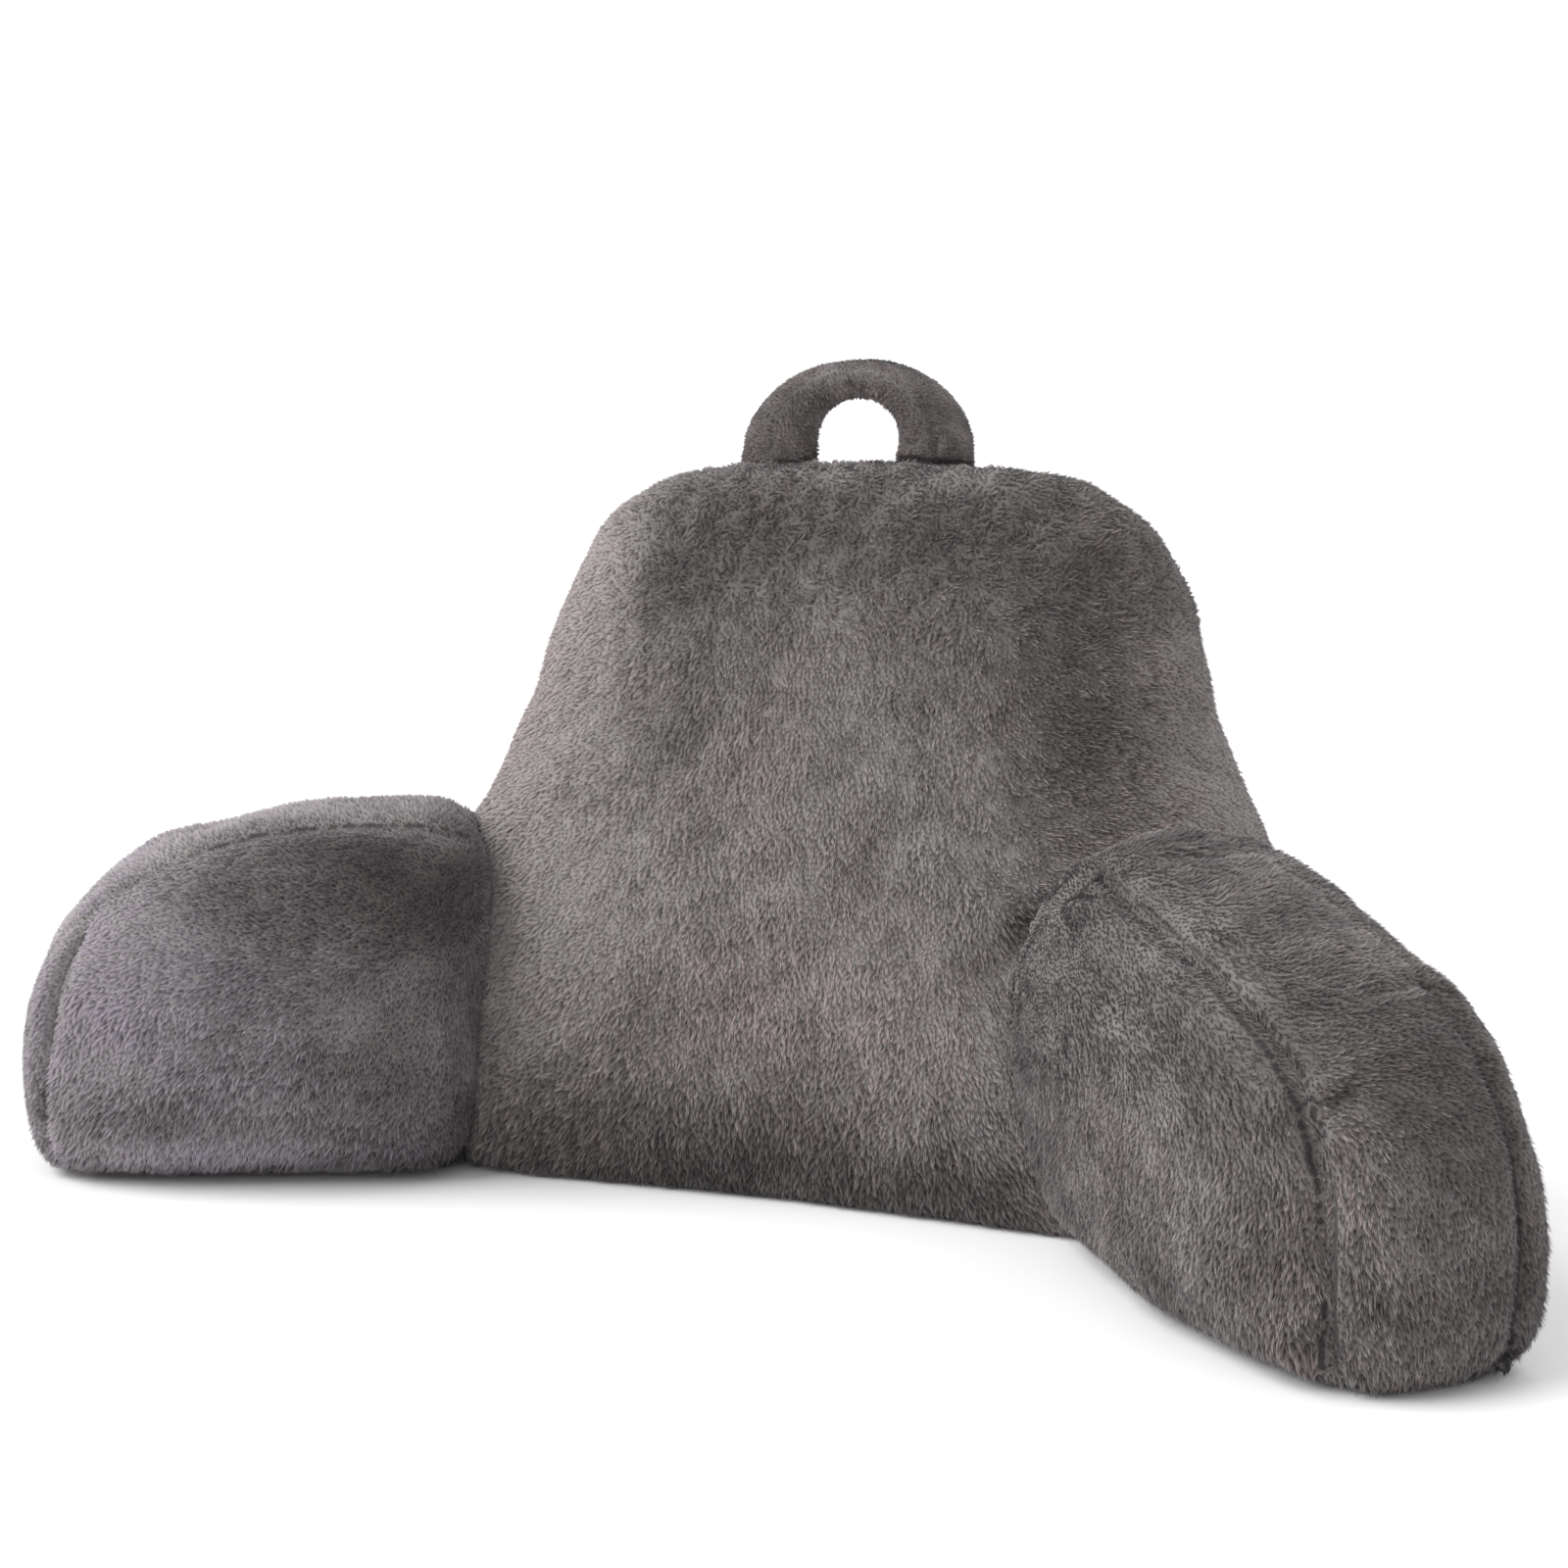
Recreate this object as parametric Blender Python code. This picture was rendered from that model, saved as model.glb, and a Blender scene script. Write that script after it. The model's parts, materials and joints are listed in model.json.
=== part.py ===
# Reading pillow with arms: a plush back cushion, two splayed arms and a carry handle.
# Metres, +Z up. The sitter leans on the side that faces -Y; -X is the left arm, +X the right.
# The origin is on the floor, under the middle of the whole object's bounding box.
# Every body reaches as far as the tips of its pile.

import math

import bmesh
import bpy
import numpy as np

# --- driving dimensions ---------------------------------------------------------------

GAP = 0.0003                 # clearance between sewn neighbours
FLOOR = 0.0

# Back cushion: half widths and half depths at the foot, at mid height and at the crest.
BACK_HEIGHT = 0.473
BACK_BELLY_HEIGHT = 0.198    # height of the middle of the front panel
BACK_HALF_WIDTHS = (0.262, 0.2485, 0.219)
BACK_SLIM_LEFT = 0.0115      # how much narrower its left side is, above the arm
SLIM_FROM = 0.49             # share of the height at which that starts
BACK_HALF_DEPTHS = (0.095, 0.085, 0.061)
BACK_LEAN = 0.096            # how far the crest lies behind the foot
BACK_CORNER_POWER = 5.6      # squareness of the shoulders
BACK_ROLL_POWER = 2.35       # squareness of the roll from the front panel into the sides
SEWN_ROLL = 0.45             # under the arms' height the roll is flattened to this power
SHOULDER_DROP = 0.018        # fall of the crest line from its middle to the right shoulder
SHOULDER_DROP_LEFT = 0.025   # the same to the left shoulder, which slopes all the way
SHOULDER_SWEEP = 0.013       # how far the shoulders lie behind the middle of the crest
BACK_HOLLOW = 0.033          # how far the foot's ends come forward of its middle
BACK_HOLLOW_HEIGHT = 0.30    # height at which that hollow has gone
FLARE_LEFT = 0.050           # rear of the sides spreading over each arm
FLARE_RIGHT = 0.088
FLARE_HEIGHT = 0.256         # height at which the flare has half gone
FLARE_SOFTNESS = 0.026
BASE_CORNER_POWER = 5.0      # squareness of the lower corners
BASE_PRESS = 0.020           # how much of the foot the floor presses flat

# Arms: the gusset's width, and how far the inner and outer panels swell.
GUSSET = 0.121
INNER_CROWN = 0.048
OUTER_CROWN = 0.020
ARM_FRONT_POWER = 2.75       # roundness of the panel's front
ARM_TOP_POWER = 3.9          # flatness of the panel's top
UNDERSIDE_LIFT = 0.006       # height of the bottom seam over the floor
PANEL_MIDDLE = (0.42, 0.45)  # the swelling's middle, as shares of the panel's length and height
PANEL_START = 0.12           # the smallest loop round that middle, as a share of the outline

# One row per arm, in metres: the side it is on, the inner panel's length and height, the
# fall of its top towards the back (a rise if negative), where its back end starts and how
# far that swells, the gusset's crown, how far the filling spreads the inner panel's foot, the
# place of the inner seam's foot, the splay from straight ahead in degrees, and the outward
# lean per metre.
ARM_ROWS = (
    {"name": "arm_left", "side": -1, "length": 0.305, "height": 0.231, "sag": 0.002,
     "root": 0.010, "root_bulge": 0.003, "crown": 0.011, "spread": 0.008,
     "x": 0.206, "y": 0.004, "splay": 68.5, "lean": 0.10},
    {"name": "arm_right", "side": 1, "length": 0.303, "height": 0.226, "sag": -0.030,
     "root": -0.038, "root_bulge": 0.086, "crown": 0.018, "spread": 0.031,
     "x": 0.206, "y": 0.010, "splay": 45.0, "lean": -0.02},
)

# Carry handle: a stuffed tube bent into a loop, pinched flat at its top.
HANDLE_HALF_SPAN = 0.056     # from the loop's middle to the middle of a foot
HANDLE_RISE = 0.049          # height of the tube's middle over the crest
HANDLE_SINK = 0.050          # depth of the feet's ends below the crest, before they are trimmed
HANDLE_FOOT = (0.028, 0.016) # half width across and half depth through, at a foot
HANDLE_TOP = (0.0130, 0.021) # the same at the top
HANDLE_TURN = 1.35           # the tube's route as a share of a half circle, feet included
HANDLE_BEHIND = 0.018        # distance of the loop's plane behind the middle of the crest
HANDLE_OFFSET = -0.018       # sideways distance from the middle of the crest

# How finely the bodies are faceted.
BACK_POINTS = 64
BACK_RINGS = 20
ARM_POINTS = 64
PANEL_RINGS = 7
GUSSET_RINGS = 7
HANDLE_RINGS = 26
HANDLE_POINTS = 14


# --- small helpers --------------------------------------------------------------------

def signed_power(value, power):
    return np.sign(value) * np.abs(value) ** power


def blend_three(v, values):
    """Smooth curve through values at v = 0, 1/2 and 1."""
    low, middle, high = values
    return low * (1 - v) * (1 - 2 * v) + middle * 4 * v * (1 - v) + high * v * (2 * v - 1)


def clear_scene():
    for old in list(bpy.data.objects):
        bpy.data.objects.remove(old, do_unlink=True)


def fabric(name, colour, roughness):
    material = bpy.data.materials.new(name)
    material.use_nodes = True
    shader = material.node_tree.nodes["Principled BSDF"]
    shader.inputs["Base Color"].default_value = (*colour, 1.0)
    shader.inputs["Roughness"].default_value = roughness
    shader.inputs["Metallic"].default_value = 0.0
    return material


def body_from_rings(name, rings):
    """A closed body from a stack of point loops, its two ends filled with fans."""
    shape = bmesh.new()
    loops = [[shape.verts.new(point) for point in ring] for ring in rings]
    count = len(loops[0])
    for lower, upper in zip(loops, loops[1:]):
        for i in range(count):
            j = (i + 1) % count
            shape.faces.new((lower[i], lower[j], upper[j], upper[i]))
    for loop in (loops[0], loops[-1]):
        middle = np.mean([vertex.co[:] for vertex in loop], axis=0)
        pole = shape.verts.new(middle)
        for i in range(count):
            shape.faces.new((loop[i], loop[(i + 1) % count], pole))
    bmesh.ops.triangulate(shape, faces=shape.faces)
    bmesh.ops.recalc_face_normals(shape, faces=shape.faces)
    mesh = bpy.data.meshes.new(name)
    shape.to_mesh(mesh)
    shape.free()
    mesh.shade_smooth()
    body = bpy.data.objects.new(name, mesh)
    bpy.context.collection.objects.link(body)
    return body


def trim(body, cutter):
    """Cut a body back to the surface of the neighbour that it is sewn to."""
    cut = body.modifiers.new("trim_to_" + cutter.name, "BOOLEAN")
    cut.operation = "DIFFERENCE"
    cut.solver = "EXACT"
    cut.object = cutter


def hide_cutter(cutter):
    cutter.hide_render = True
    cutter.display_type = "WIRE"


# --- back cushion ---------------------------------------------------------------------

def back_rings():
    """Loops from the front panel's middle, over the rolled edge, to the rear panel's middle."""
    turn = np.linspace(0, 2 * math.pi, BACK_POINTS, endpoint=False)
    upper = np.sin(turn) >= 0
    power = np.where(upper, BACK_CORNER_POWER, BASE_CORNER_POWER)
    across = signed_power(np.cos(turn), 2 / power)
    reach = np.where(upper, BACK_HEIGHT - BACK_BELLY_HEIGHT, BACK_BELLY_HEIGHT + BASE_PRESS)
    edge_height = BACK_BELLY_HEIGHT + reach * signed_power(np.sin(turn), 2 / power)
    rings = []
    for angle in np.linspace(-math.pi / 2, math.pi / 2, BACK_RINGS + 2)[1:-1]:
        spread = math.cos(angle) ** (2 / BACK_ROLL_POWER)
        through = float(signed_power(math.sin(angle), 2 / BACK_ROLL_POWER))
        share = spread * across
        height = BACK_BELLY_HEIGHT + spread * (edge_height - BACK_BELLY_HEIGHT)
        above_belly = (height - BACK_BELLY_HEIGHT) / (BACK_HEIGHT - BACK_BELLY_HEIGHT)
        drop = np.where(across < 0, SHOULDER_DROP_LEFT * np.abs(across) ** 1.15, SHOULDER_DROP * across**2)
        height = height - drop * spread * np.clip(above_belly, 0, 1)
        height = np.maximum(height, FLOOR)
        level = height / BACK_HEIGHT
        flare = np.where(share < 0, -FLARE_LEFT, FLARE_RIGHT) * share**2 * (0.5 + 0.5 * through)
        fade = 1 / (1 + np.exp((height - FLARE_HEIGHT) / FLARE_SOFTNESS))
        above_arm = np.clip((level - SLIM_FROM) / (1 - SLIM_FROM), 0, 1)
        slim = np.abs(np.sin(math.pi * above_arm)) ** 0.7 * np.where(share < 0, share**2, 0)
        x = share * blend_three(level, BACK_HALF_WIDTHS) + flare * fade + BACK_SLIM_LEFT * slim
        roll = 1 - (1 - SEWN_ROLL) * fade
        swell = np.sign(through) * abs(through) ** roll
        y = BACK_HALF_DEPTHS[0] + BACK_LEAN * level + swell * blend_three(level, BACK_HALF_DEPTHS)
        y = y - BACK_HOLLOW * share**2 * np.clip(1 - height / BACK_HOLLOW_HEIGHT, 0, 1)
        y = y + SHOULDER_SWEEP * share**2 * level
        rings.append(np.stack([x, y, height], axis=1))
    return rings


# --- arms -----------------------------------------------------------------------------

def arm_outline(row):
    """The inner panel's seam line as (distance along the arm, height), round its whole edge."""
    half = ARM_POINTS // 2
    root_count = ARM_POINTS // 6
    base_count = ARM_POINTS - half - root_count
    turn = np.linspace(0, math.pi / 2, half)
    rise = (row["height"] - UNDERSIDE_LIFT) * np.sin(turn) ** (2 / ARM_TOP_POWER)
    along = row["length"] * np.cos(turn) ** (2 / ARM_FRONT_POWER)
    near_root = np.clip(1 - along / (0.7 * row["length"]), 0, 1)
    rise = rise * (1 - row["sag"] / row["height"] * near_root**2)
    front = np.stack([along, UNDERSIDE_LIFT + rise], axis=1)
    root_height = np.linspace(front[-1, 1], UNDERSIDE_LIFT, root_count + 2)[1:-1]
    root_bow = row["root_bulge"] * np.sin(math.pi * root_height / row["height"])
    root = np.stack([row["root"] - root_bow, root_height], axis=1)
    base_along = np.linspace(row["root"], row["length"], base_count + 1)[:-1]
    base = np.stack([base_along, np.full(base_count, UNDERSIDE_LIFT)], axis=1)
    loop = np.concatenate([front, root, base])
    for _ in range(3):
        loop = 0.5 * loop + 0.25 * (np.roll(loop, 1, axis=0) + np.roll(loop, -1, axis=0))
    return loop


def panel_swell(share):
    """Height of a filled panel's dome, from 1 at its middle to 0 at its seam."""
    return (1 - share**2.2) ** 0.7


def arm_rings(row):
    """Loops from the inner panel's middle, over the crowned gusset, to the outer panel's middle."""
    outline = arm_outline(row)
    middle = np.array([row["length"] * PANEL_MIDDLE[0], row["height"] * PANEL_MIDDLE[1]])
    step = np.roll(outline, -1, axis=0) - np.roll(outline, 1, axis=0)
    normal = np.stack([step[:, 1], -step[:, 0]], axis=1)
    normal /= np.linalg.norm(normal, axis=1)[:, None]
    layers = []
    for share in np.linspace(PANEL_START, 1.0, PANEL_RINGS):
        layers.append((middle + share * (outline - middle), -INNER_CROWN * panel_swell(share)))
    for share in np.linspace(0, 1, GUSSET_RINGS + 2)[1:-1]:
        crown = row["crown"] * (1 - (2 * share - 1) ** 2) ** 0.6
        layers.append((outline + normal * crown, GUSSET * share))
    for share in np.linspace(1.0, PANEL_START, PANEL_RINGS):
        depth = GUSSET + OUTER_CROWN * panel_swell(share)
        layers.append((middle + share * (outline - middle), depth))
    splay = math.radians(row["splay"])
    rings = []
    for loop, depth in layers:
        along = loop[:, 0]
        height = np.maximum(loop[:, 1], FLOOR)
        low = np.clip(1 - height / (0.6 * row["height"]), 0, 1) ** 2
        belly = np.sin(math.pi * np.clip(along / row["length"], 0, 1))
        inside = max(0.0, 1 - max(depth, 0.0) / (0.5 * GUSSET))
        outward = depth + row["lean"] * height - row["spread"] * low * belly * inside
        x = row["side"] * (row["x"] + along * math.sin(splay) + outward * math.cos(splay))
        y = row["y"] - along * math.cos(splay) + outward * math.sin(splay)
        rings.append(np.stack([x, y, height], axis=1))
    return rings


# --- carry handle ---------------------------------------------------------------------

def handle_rings():
    """Ovals along the loop, wide at its feet and pinched thin at its top."""
    top_y = BACK_HALF_DEPTHS[0] + BACK_LEAN + HANDLE_BEHIND
    rings = []
    for share in np.linspace(-1, 1, HANDLE_RINGS):
        bow = share * math.pi / 2 * HANDLE_TURN
        bow_limit = min(abs(bow), math.pi / 2)
        sink = (abs(bow) - bow_limit) / (math.pi / 2 * (HANDLE_TURN - 1)) * HANDLE_SINK
        centre_x = HANDLE_OFFSET + HANDLE_HALF_SPAN * math.sin(math.copysign(bow_limit, bow))
        centre_z = BACK_HEIGHT + HANDLE_RISE * math.cos(bow_limit) - sink
        pinch = math.cos(bow_limit) ** 1.5
        wide = HANDLE_FOOT[0] + (HANDLE_TOP[0] - HANDLE_FOOT[0]) * pinch
        deep = HANDLE_FOOT[1] + (HANDLE_TOP[1] - HANDLE_FOOT[1]) * pinch
        out_x = math.sin(math.copysign(bow_limit, bow))
        out_z = math.cos(bow_limit)
        oval = []
        for turn in np.linspace(0, 2 * math.pi, HANDLE_POINTS, endpoint=False):
            outward = wide * math.cos(turn)
            backward = deep * math.sin(turn)
            x = centre_x + out_x * outward
            z = centre_z + out_z * outward
            y = top_y + backward + BACK_LEAN * (z - BACK_HEIGHT) / BACK_HEIGHT
            oval.append((x, y, z))
        rings.append(np.array(oval))
    return rings


# --- assembly -------------------------------------------------------------------------

def pushed_out(source, name, distance):
    """A copy of a body, every point moved out along its normal."""
    mesh = source.data.copy()
    normals = [vertex.normal.copy() for vertex in mesh.vertices]
    for vertex, normal in zip(mesh.vertices, normals):
        vertex.co += normal * distance
    copy = bpy.data.objects.new(name, mesh)
    bpy.context.collection.objects.link(copy)
    return copy


def centre_on_floor(bodies, cutters):
    """Put the origin under the middle of the bodies' common bounding box."""
    points = np.array([vertex.co[:] for body in bodies for vertex in body.data.vertices])
    middle = (points.min(axis=0) + points.max(axis=0)) / 2
    for item in (*bodies, *cutters):
        for vertex in item.data.vertices:
            vertex.co.x -= middle[0]
            vertex.co.y -= middle[1]


def build():
    clear_scene()
    backrest = body_from_rings("backrest", back_rings())
    backrest.data.materials.append(fabric("back_plush", (0.150, 0.135, 0.133), 0.95))

    back_cutter = pushed_out(backrest, "back_cutter", GAP)
    hide_cutter(back_cutter)

    bodies = [backrest]
    for row in ARM_ROWS:
        arm = body_from_rings(row["name"], arm_rings(row))
        arm.data.materials.append(fabric(row["name"] + "_plush", (0.155, 0.142, 0.143), 0.95))
        trim(arm, back_cutter)
        bodies.append(arm)

    handle = body_from_rings("carry_handle", handle_rings())
    handle.data.materials.append(fabric("handle_plush", (0.140, 0.128, 0.126), 0.95))
    trim(handle, back_cutter)
    bodies.append(handle)

    centre_on_floor(bodies, [back_cutter])


build()
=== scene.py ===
# %% [markdown]
# # A reading pillow in plush
# The real thing is a filled back cushion with a filled arm sewn to each lower corner and a
# stuffed loop on top to carry it by. Everything is covered in short, dense, silky plush.
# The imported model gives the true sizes. This lesson turns its plain solids into swollen
# covers with sewn seams, and then grows the pile on them.

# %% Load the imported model
import json
import math

import bmesh
import bpy
import numpy as np
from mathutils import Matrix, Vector
from mathutils.bvhtree import BVHTree
from mathutils.kdtree import KDTree

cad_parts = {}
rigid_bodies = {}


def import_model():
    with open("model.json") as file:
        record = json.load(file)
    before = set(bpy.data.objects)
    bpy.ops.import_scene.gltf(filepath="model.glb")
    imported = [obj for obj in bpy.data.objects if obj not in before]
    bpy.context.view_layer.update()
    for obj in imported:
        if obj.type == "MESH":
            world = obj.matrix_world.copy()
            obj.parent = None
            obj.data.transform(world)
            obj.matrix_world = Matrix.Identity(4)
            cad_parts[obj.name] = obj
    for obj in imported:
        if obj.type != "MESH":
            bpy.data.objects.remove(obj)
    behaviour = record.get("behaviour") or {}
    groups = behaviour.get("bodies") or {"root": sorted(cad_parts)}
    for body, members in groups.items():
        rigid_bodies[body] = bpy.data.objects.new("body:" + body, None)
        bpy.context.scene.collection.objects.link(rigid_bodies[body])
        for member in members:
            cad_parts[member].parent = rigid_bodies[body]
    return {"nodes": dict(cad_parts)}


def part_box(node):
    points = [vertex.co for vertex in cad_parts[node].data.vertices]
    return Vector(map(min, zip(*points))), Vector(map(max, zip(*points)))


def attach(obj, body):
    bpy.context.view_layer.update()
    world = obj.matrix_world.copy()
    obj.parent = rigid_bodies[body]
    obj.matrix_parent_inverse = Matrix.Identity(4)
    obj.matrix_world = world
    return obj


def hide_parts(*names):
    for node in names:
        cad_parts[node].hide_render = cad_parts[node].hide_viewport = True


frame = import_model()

scene = bpy.context.scene
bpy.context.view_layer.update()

# %% [markdown]
# ## Floor, light and camera
# A plain pale floor and broad soft light show plush best, since its depth comes from the
# small shadows between the tufts. The main light is wide and comes from the left, as from a
# big window. A white room fills the shadows, and a weak light from behind shapes the back.

# %% Floor, light and camera
def add_floor(size=60.0):
    bpy.ops.mesh.primitive_plane_add(size=size, location=(0, 0, -0.001))
    floor = bpy.context.object
    floor.name = "studio_floor"
    paint = bpy.data.materials.new("pale_floor")
    paint.use_nodes = True
    shader = paint.node_tree.nodes["Principled BSDF"]
    shader.inputs["Base Color"].default_value = (0.92, 0.92, 0.92, 1)
    shader.inputs["Roughness"].default_value = 0.9
    floor.data.materials.append(paint)


def add_window(name, side, height, strength, softness):
    """Even light from far away: side in degrees right of the front, height in degrees up."""
    lamp = bpy.data.lights.new(name, "SUN")
    lamp.energy = strength
    lamp.angle = math.radians(softness)
    holder = bpy.data.objects.new(name, lamp)
    scene.collection.objects.link(holder)
    holder.rotation_euler = direction(side, height).to_track_quat("Z", "Y").to_euler()


def direction(turn, rise):
    """The way towards something turn degrees right of the front and rise degrees up."""
    turn, rise = math.radians(turn), math.radians(rise)
    flat = math.cos(rise)
    return Vector((math.sin(turn) * flat, -math.cos(turn) * flat, math.sin(rise)))


def add_camera(target, turn, rise, distance, lens):
    back = direction(turn, rise)
    camera = bpy.data.objects.new("camera", bpy.data.cameras.new("camera"))
    scene.collection.objects.link(camera)
    camera.location = Vector(target) + back * distance
    camera.rotation_euler = back.to_track_quat("Z", "Y").to_euler()
    camera.data.lens = lens
    camera.data.sensor_width = 36.0
    scene.camera = camera


def white_room(fill):
    """A white surround that is seen at full strength but lights the object more weakly."""
    world = bpy.data.worlds.new("white_room")
    world.use_nodes = True
    nodes, links = world.node_tree.nodes, world.node_tree.links
    ray = nodes.new("ShaderNodeLightPath")
    strength = nodes.new("ShaderNodeMapRange")
    strength.inputs["To Min"].default_value = fill
    strength.inputs["To Max"].default_value = 1.0
    links.new(ray.outputs["Is Camera Ray"], strength.inputs["Value"])
    links.new(strength.outputs["Result"], nodes["Background"].inputs["Strength"])
    nodes["Background"].inputs["Color"].default_value = (1, 1, 1, 1)
    scene.world = world


add_floor()
add_window("window_light", side=-62, height=40, strength=3.3, softness=50)
add_window("back_light", side=150, height=45, strength=1.0, softness=60)
white_room(fill=0.68)
scene.view_settings.view_transform = "Standard"
add_camera(target=(0.0222, -0.0105, 0.2787), turn=20.98, rise=10.03, distance=1.9935, lens=72.86)
print("camera at", [round(value, 3) for value in scene.camera.location])

# %% [markdown]
# ## How the arms are cut
# Each arm has an inner panel, a wide gusset that runs over its top and front, and an outer
# panel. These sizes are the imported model's own. With them, any point in space can be told
# as a distance along the arm, a distance outward and a height, which is how the seams and
# folds are placed.

# %% Arm cutting sizes
GUSSET = 0.121
UNDERSIDE_LIFT = 0.006
FRONT_ROUNDNESS = 2.75       # power of the curve at a panel's front
TOP_FLATNESS = 3.9           # and at its top
ROLL_BACK = 0.30             # how far the inner seam moves outward as it moves off the edge
ARMS = {
    "arm_left": {"side": -1, "length": 0.305, "height": 0.231, "sag": 0.002, "x": 0.1899,
                 "y": -0.0139, "splay": 68.5, "lean": 0.10, "seam_along": 0.83,
                 "seam_height": 1.05, "seam_foot": 0.013, "outer_seam": (GUSSET, GUSSET)},
    "arm_right": {"side": 1, "length": 0.303, "height": 0.226, "sag": -0.030, "x": 0.2221,
                  "y": -0.0079, "splay": 45.0, "lean": -0.02, "seam_along": 0.90,
                  "seam_height": 0.96, "seam_foot": None, "outer_seam": (0.078, 0.096)},
}
PANEL_MIDDLE = (0.42, 0.45)


def arm_to_world(arm, along, outward, height):
    splay = math.radians(arm["splay"])
    outward = outward + arm["lean"] * height
    x = arm["side"] * (arm["x"] + along * math.sin(splay) + outward * math.cos(splay))
    y = arm["y"] - along * math.cos(splay) + outward * math.sin(splay)
    return np.stack([x, y, height], axis=-1)


def world_to_arm(arm, points):
    splay = math.radians(arm["splay"])
    x = arm["side"] * points[:, 0] - arm["x"]
    y = points[:, 1] - arm["y"]
    along = x * math.sin(splay) - y * math.cos(splay)
    outward = x * math.cos(splay) + y * math.sin(splay) - arm["lean"] * points[:, 2]
    return along, outward, points[:, 2]


def arm_outline(arm):
    """Distance along and height of a panel's edge, from the back of its top to its toe."""
    turn = np.linspace(math.pi / 2, 0, 90)
    along = arm["length"] * np.cos(turn) ** (2 / FRONT_ROUNDNESS)
    rise = (arm["height"] - UNDERSIDE_LIFT) * np.sin(turn) ** (2 / TOP_FLATNESS)
    near_root = np.clip(1 - along / (0.7 * arm["length"]), 0, 1)
    rise = rise * (1 - arm["sag"] / arm["height"] * near_root**2)
    return along, UNDERSIDE_LIFT + rise


def inner_seam(arm):
    """The seam between inner panel and gusset. The full panel rolls a little way round to it."""
    along, height = arm_outline(arm)
    middle_along = arm["length"] * PANEL_MIDDLE[0]
    middle_height = arm["height"] * PANEL_MIDDLE[1]
    near_root = np.clip(1 - along / middle_along, 0, 1)
    pull = arm["seam_along"] + (1 - arm["seam_along"]) * near_root
    along = middle_along + (along - middle_along) * pull
    height = middle_height + (height - middle_height) * arm["seam_height"]
    if arm["seam_foot"] is not None:
        base = np.linspace(along[-1], 0.0, 60)
        along = np.concatenate([along, base])
        height = np.concatenate([np.maximum(height, arm["seam_foot"]), np.full(60, arm["seam_foot"])])
    for _ in range(12):
        along[1:-1] = (along[:-2] + 2 * along[1:-1] + along[2:]) / 4
        height[1:-1] = (height[:-2] + 2 * height[1:-1] + height[2:]) / 4
    outward = -ROLL_BACK * (1 - arm["seam_height"])
    return arm_to_world(arm, along, np.full(len(along), outward), height)


def outer_seam(arm):
    along, height = arm_outline(arm)
    return arm_to_world(arm, along, np.interp(along, (0, arm["length"]), arm["outer_seam"]), height)


for name, arm in ARMS.items():
    seam_ends = inner_seam(arm)[[0, -1]]
    print(name, "inner seam from", seam_ends[0].round(3), "to", seam_ends[1].round(3))

# %% [markdown]
# ## Swollen covers
# A filled cover is a skin under pressure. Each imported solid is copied, drawn in to leave
# room for the pile, and remeshed into even cells. Blender's cloth then blows it up for a
# few steps with no gravity, so it rounds between the places that hold it: the flat
# underside and the joins to its neighbours stay put, as sewn and sat-on cloth does.

# %% Tools for meshes
FLOOR_CLEARANCE = 0.0006     # the lowest a cover may lie


def points_of(mesh):
    values = np.empty(len(mesh.vertices) * 3, np.float32)
    mesh.vertices.foreach_get("co", values)
    return values.reshape(-1, 3).astype(float)


def normals_of(mesh):
    values = np.empty(len(mesh.vertices) * 3, np.float32)
    mesh.vertices.foreach_get("normal", values)
    return values.reshape(-1, 3).astype(float)


def set_points(mesh, points):
    mesh.vertices.foreach_set("co", points.astype(np.float32).ravel())
    mesh.update()


def merged_copy(node):
    mesh = frame["nodes"][node].data.copy()
    shape = bmesh.new()
    shape.from_mesh(mesh)
    bmesh.ops.remove_doubles(shape, verts=shape.verts, dist=0.00005)
    shape.to_mesh(mesh)
    shape.free()
    mesh.materials.clear()
    return mesh


def apply_modifiers(piece):
    graph = bpy.context.evaluated_depsgraph_get()
    result = bpy.data.meshes.new_from_object(piece.evaluated_get(graph), depsgraph=graph)
    piece.modifiers.clear()
    old = piece.data
    piece.data = result
    bpy.data.meshes.remove(old)


def tree_of(mesh):
    shape = bmesh.new()
    shape.from_mesh(mesh)
    tree = BVHTree.FromBMesh(shape)
    shape.free()
    return tree


def distances_to(tree, points, limit=0.2):
    found = [tree.find_nearest(Vector(p), limit) for p in points]
    return np.array([limit if f[3] is None else f[3] for f in found])


def neighbours_average(mesh, values, rounds=1):
    """Each vertex takes the mean of itself and its neighbours, a few times over."""
    edges = np.empty(len(mesh.edges) * 2, np.int32)
    mesh.edges.foreach_get("vertices", edges)
    a, b = edges.reshape(-1, 2).T
    count = np.bincount(np.concatenate([a, b]), minlength=len(mesh.vertices)) + 1
    values = np.array(values, float)
    flat = values.reshape(len(values), -1)
    for _ in range(rounds):
        total = flat.copy()
        np.add.at(total, a, flat[b])
        np.add.at(total, b, flat[a])
        flat = total / count[:, None]
    return flat.reshape(values.shape)


# %% [markdown]
# A filled cover is rounder than its paper pattern. It could be rounded with a subdivision
# surface, but the cloth solver with pressure inside also makes the uneven, tight swelling
# between the held places. What it moves too far is capped, and where remeshing has worn a
# corner away, the cover is brought out again to its packed size.

# %% Blow up a cover
SWELL_STEPS = 16


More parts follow.
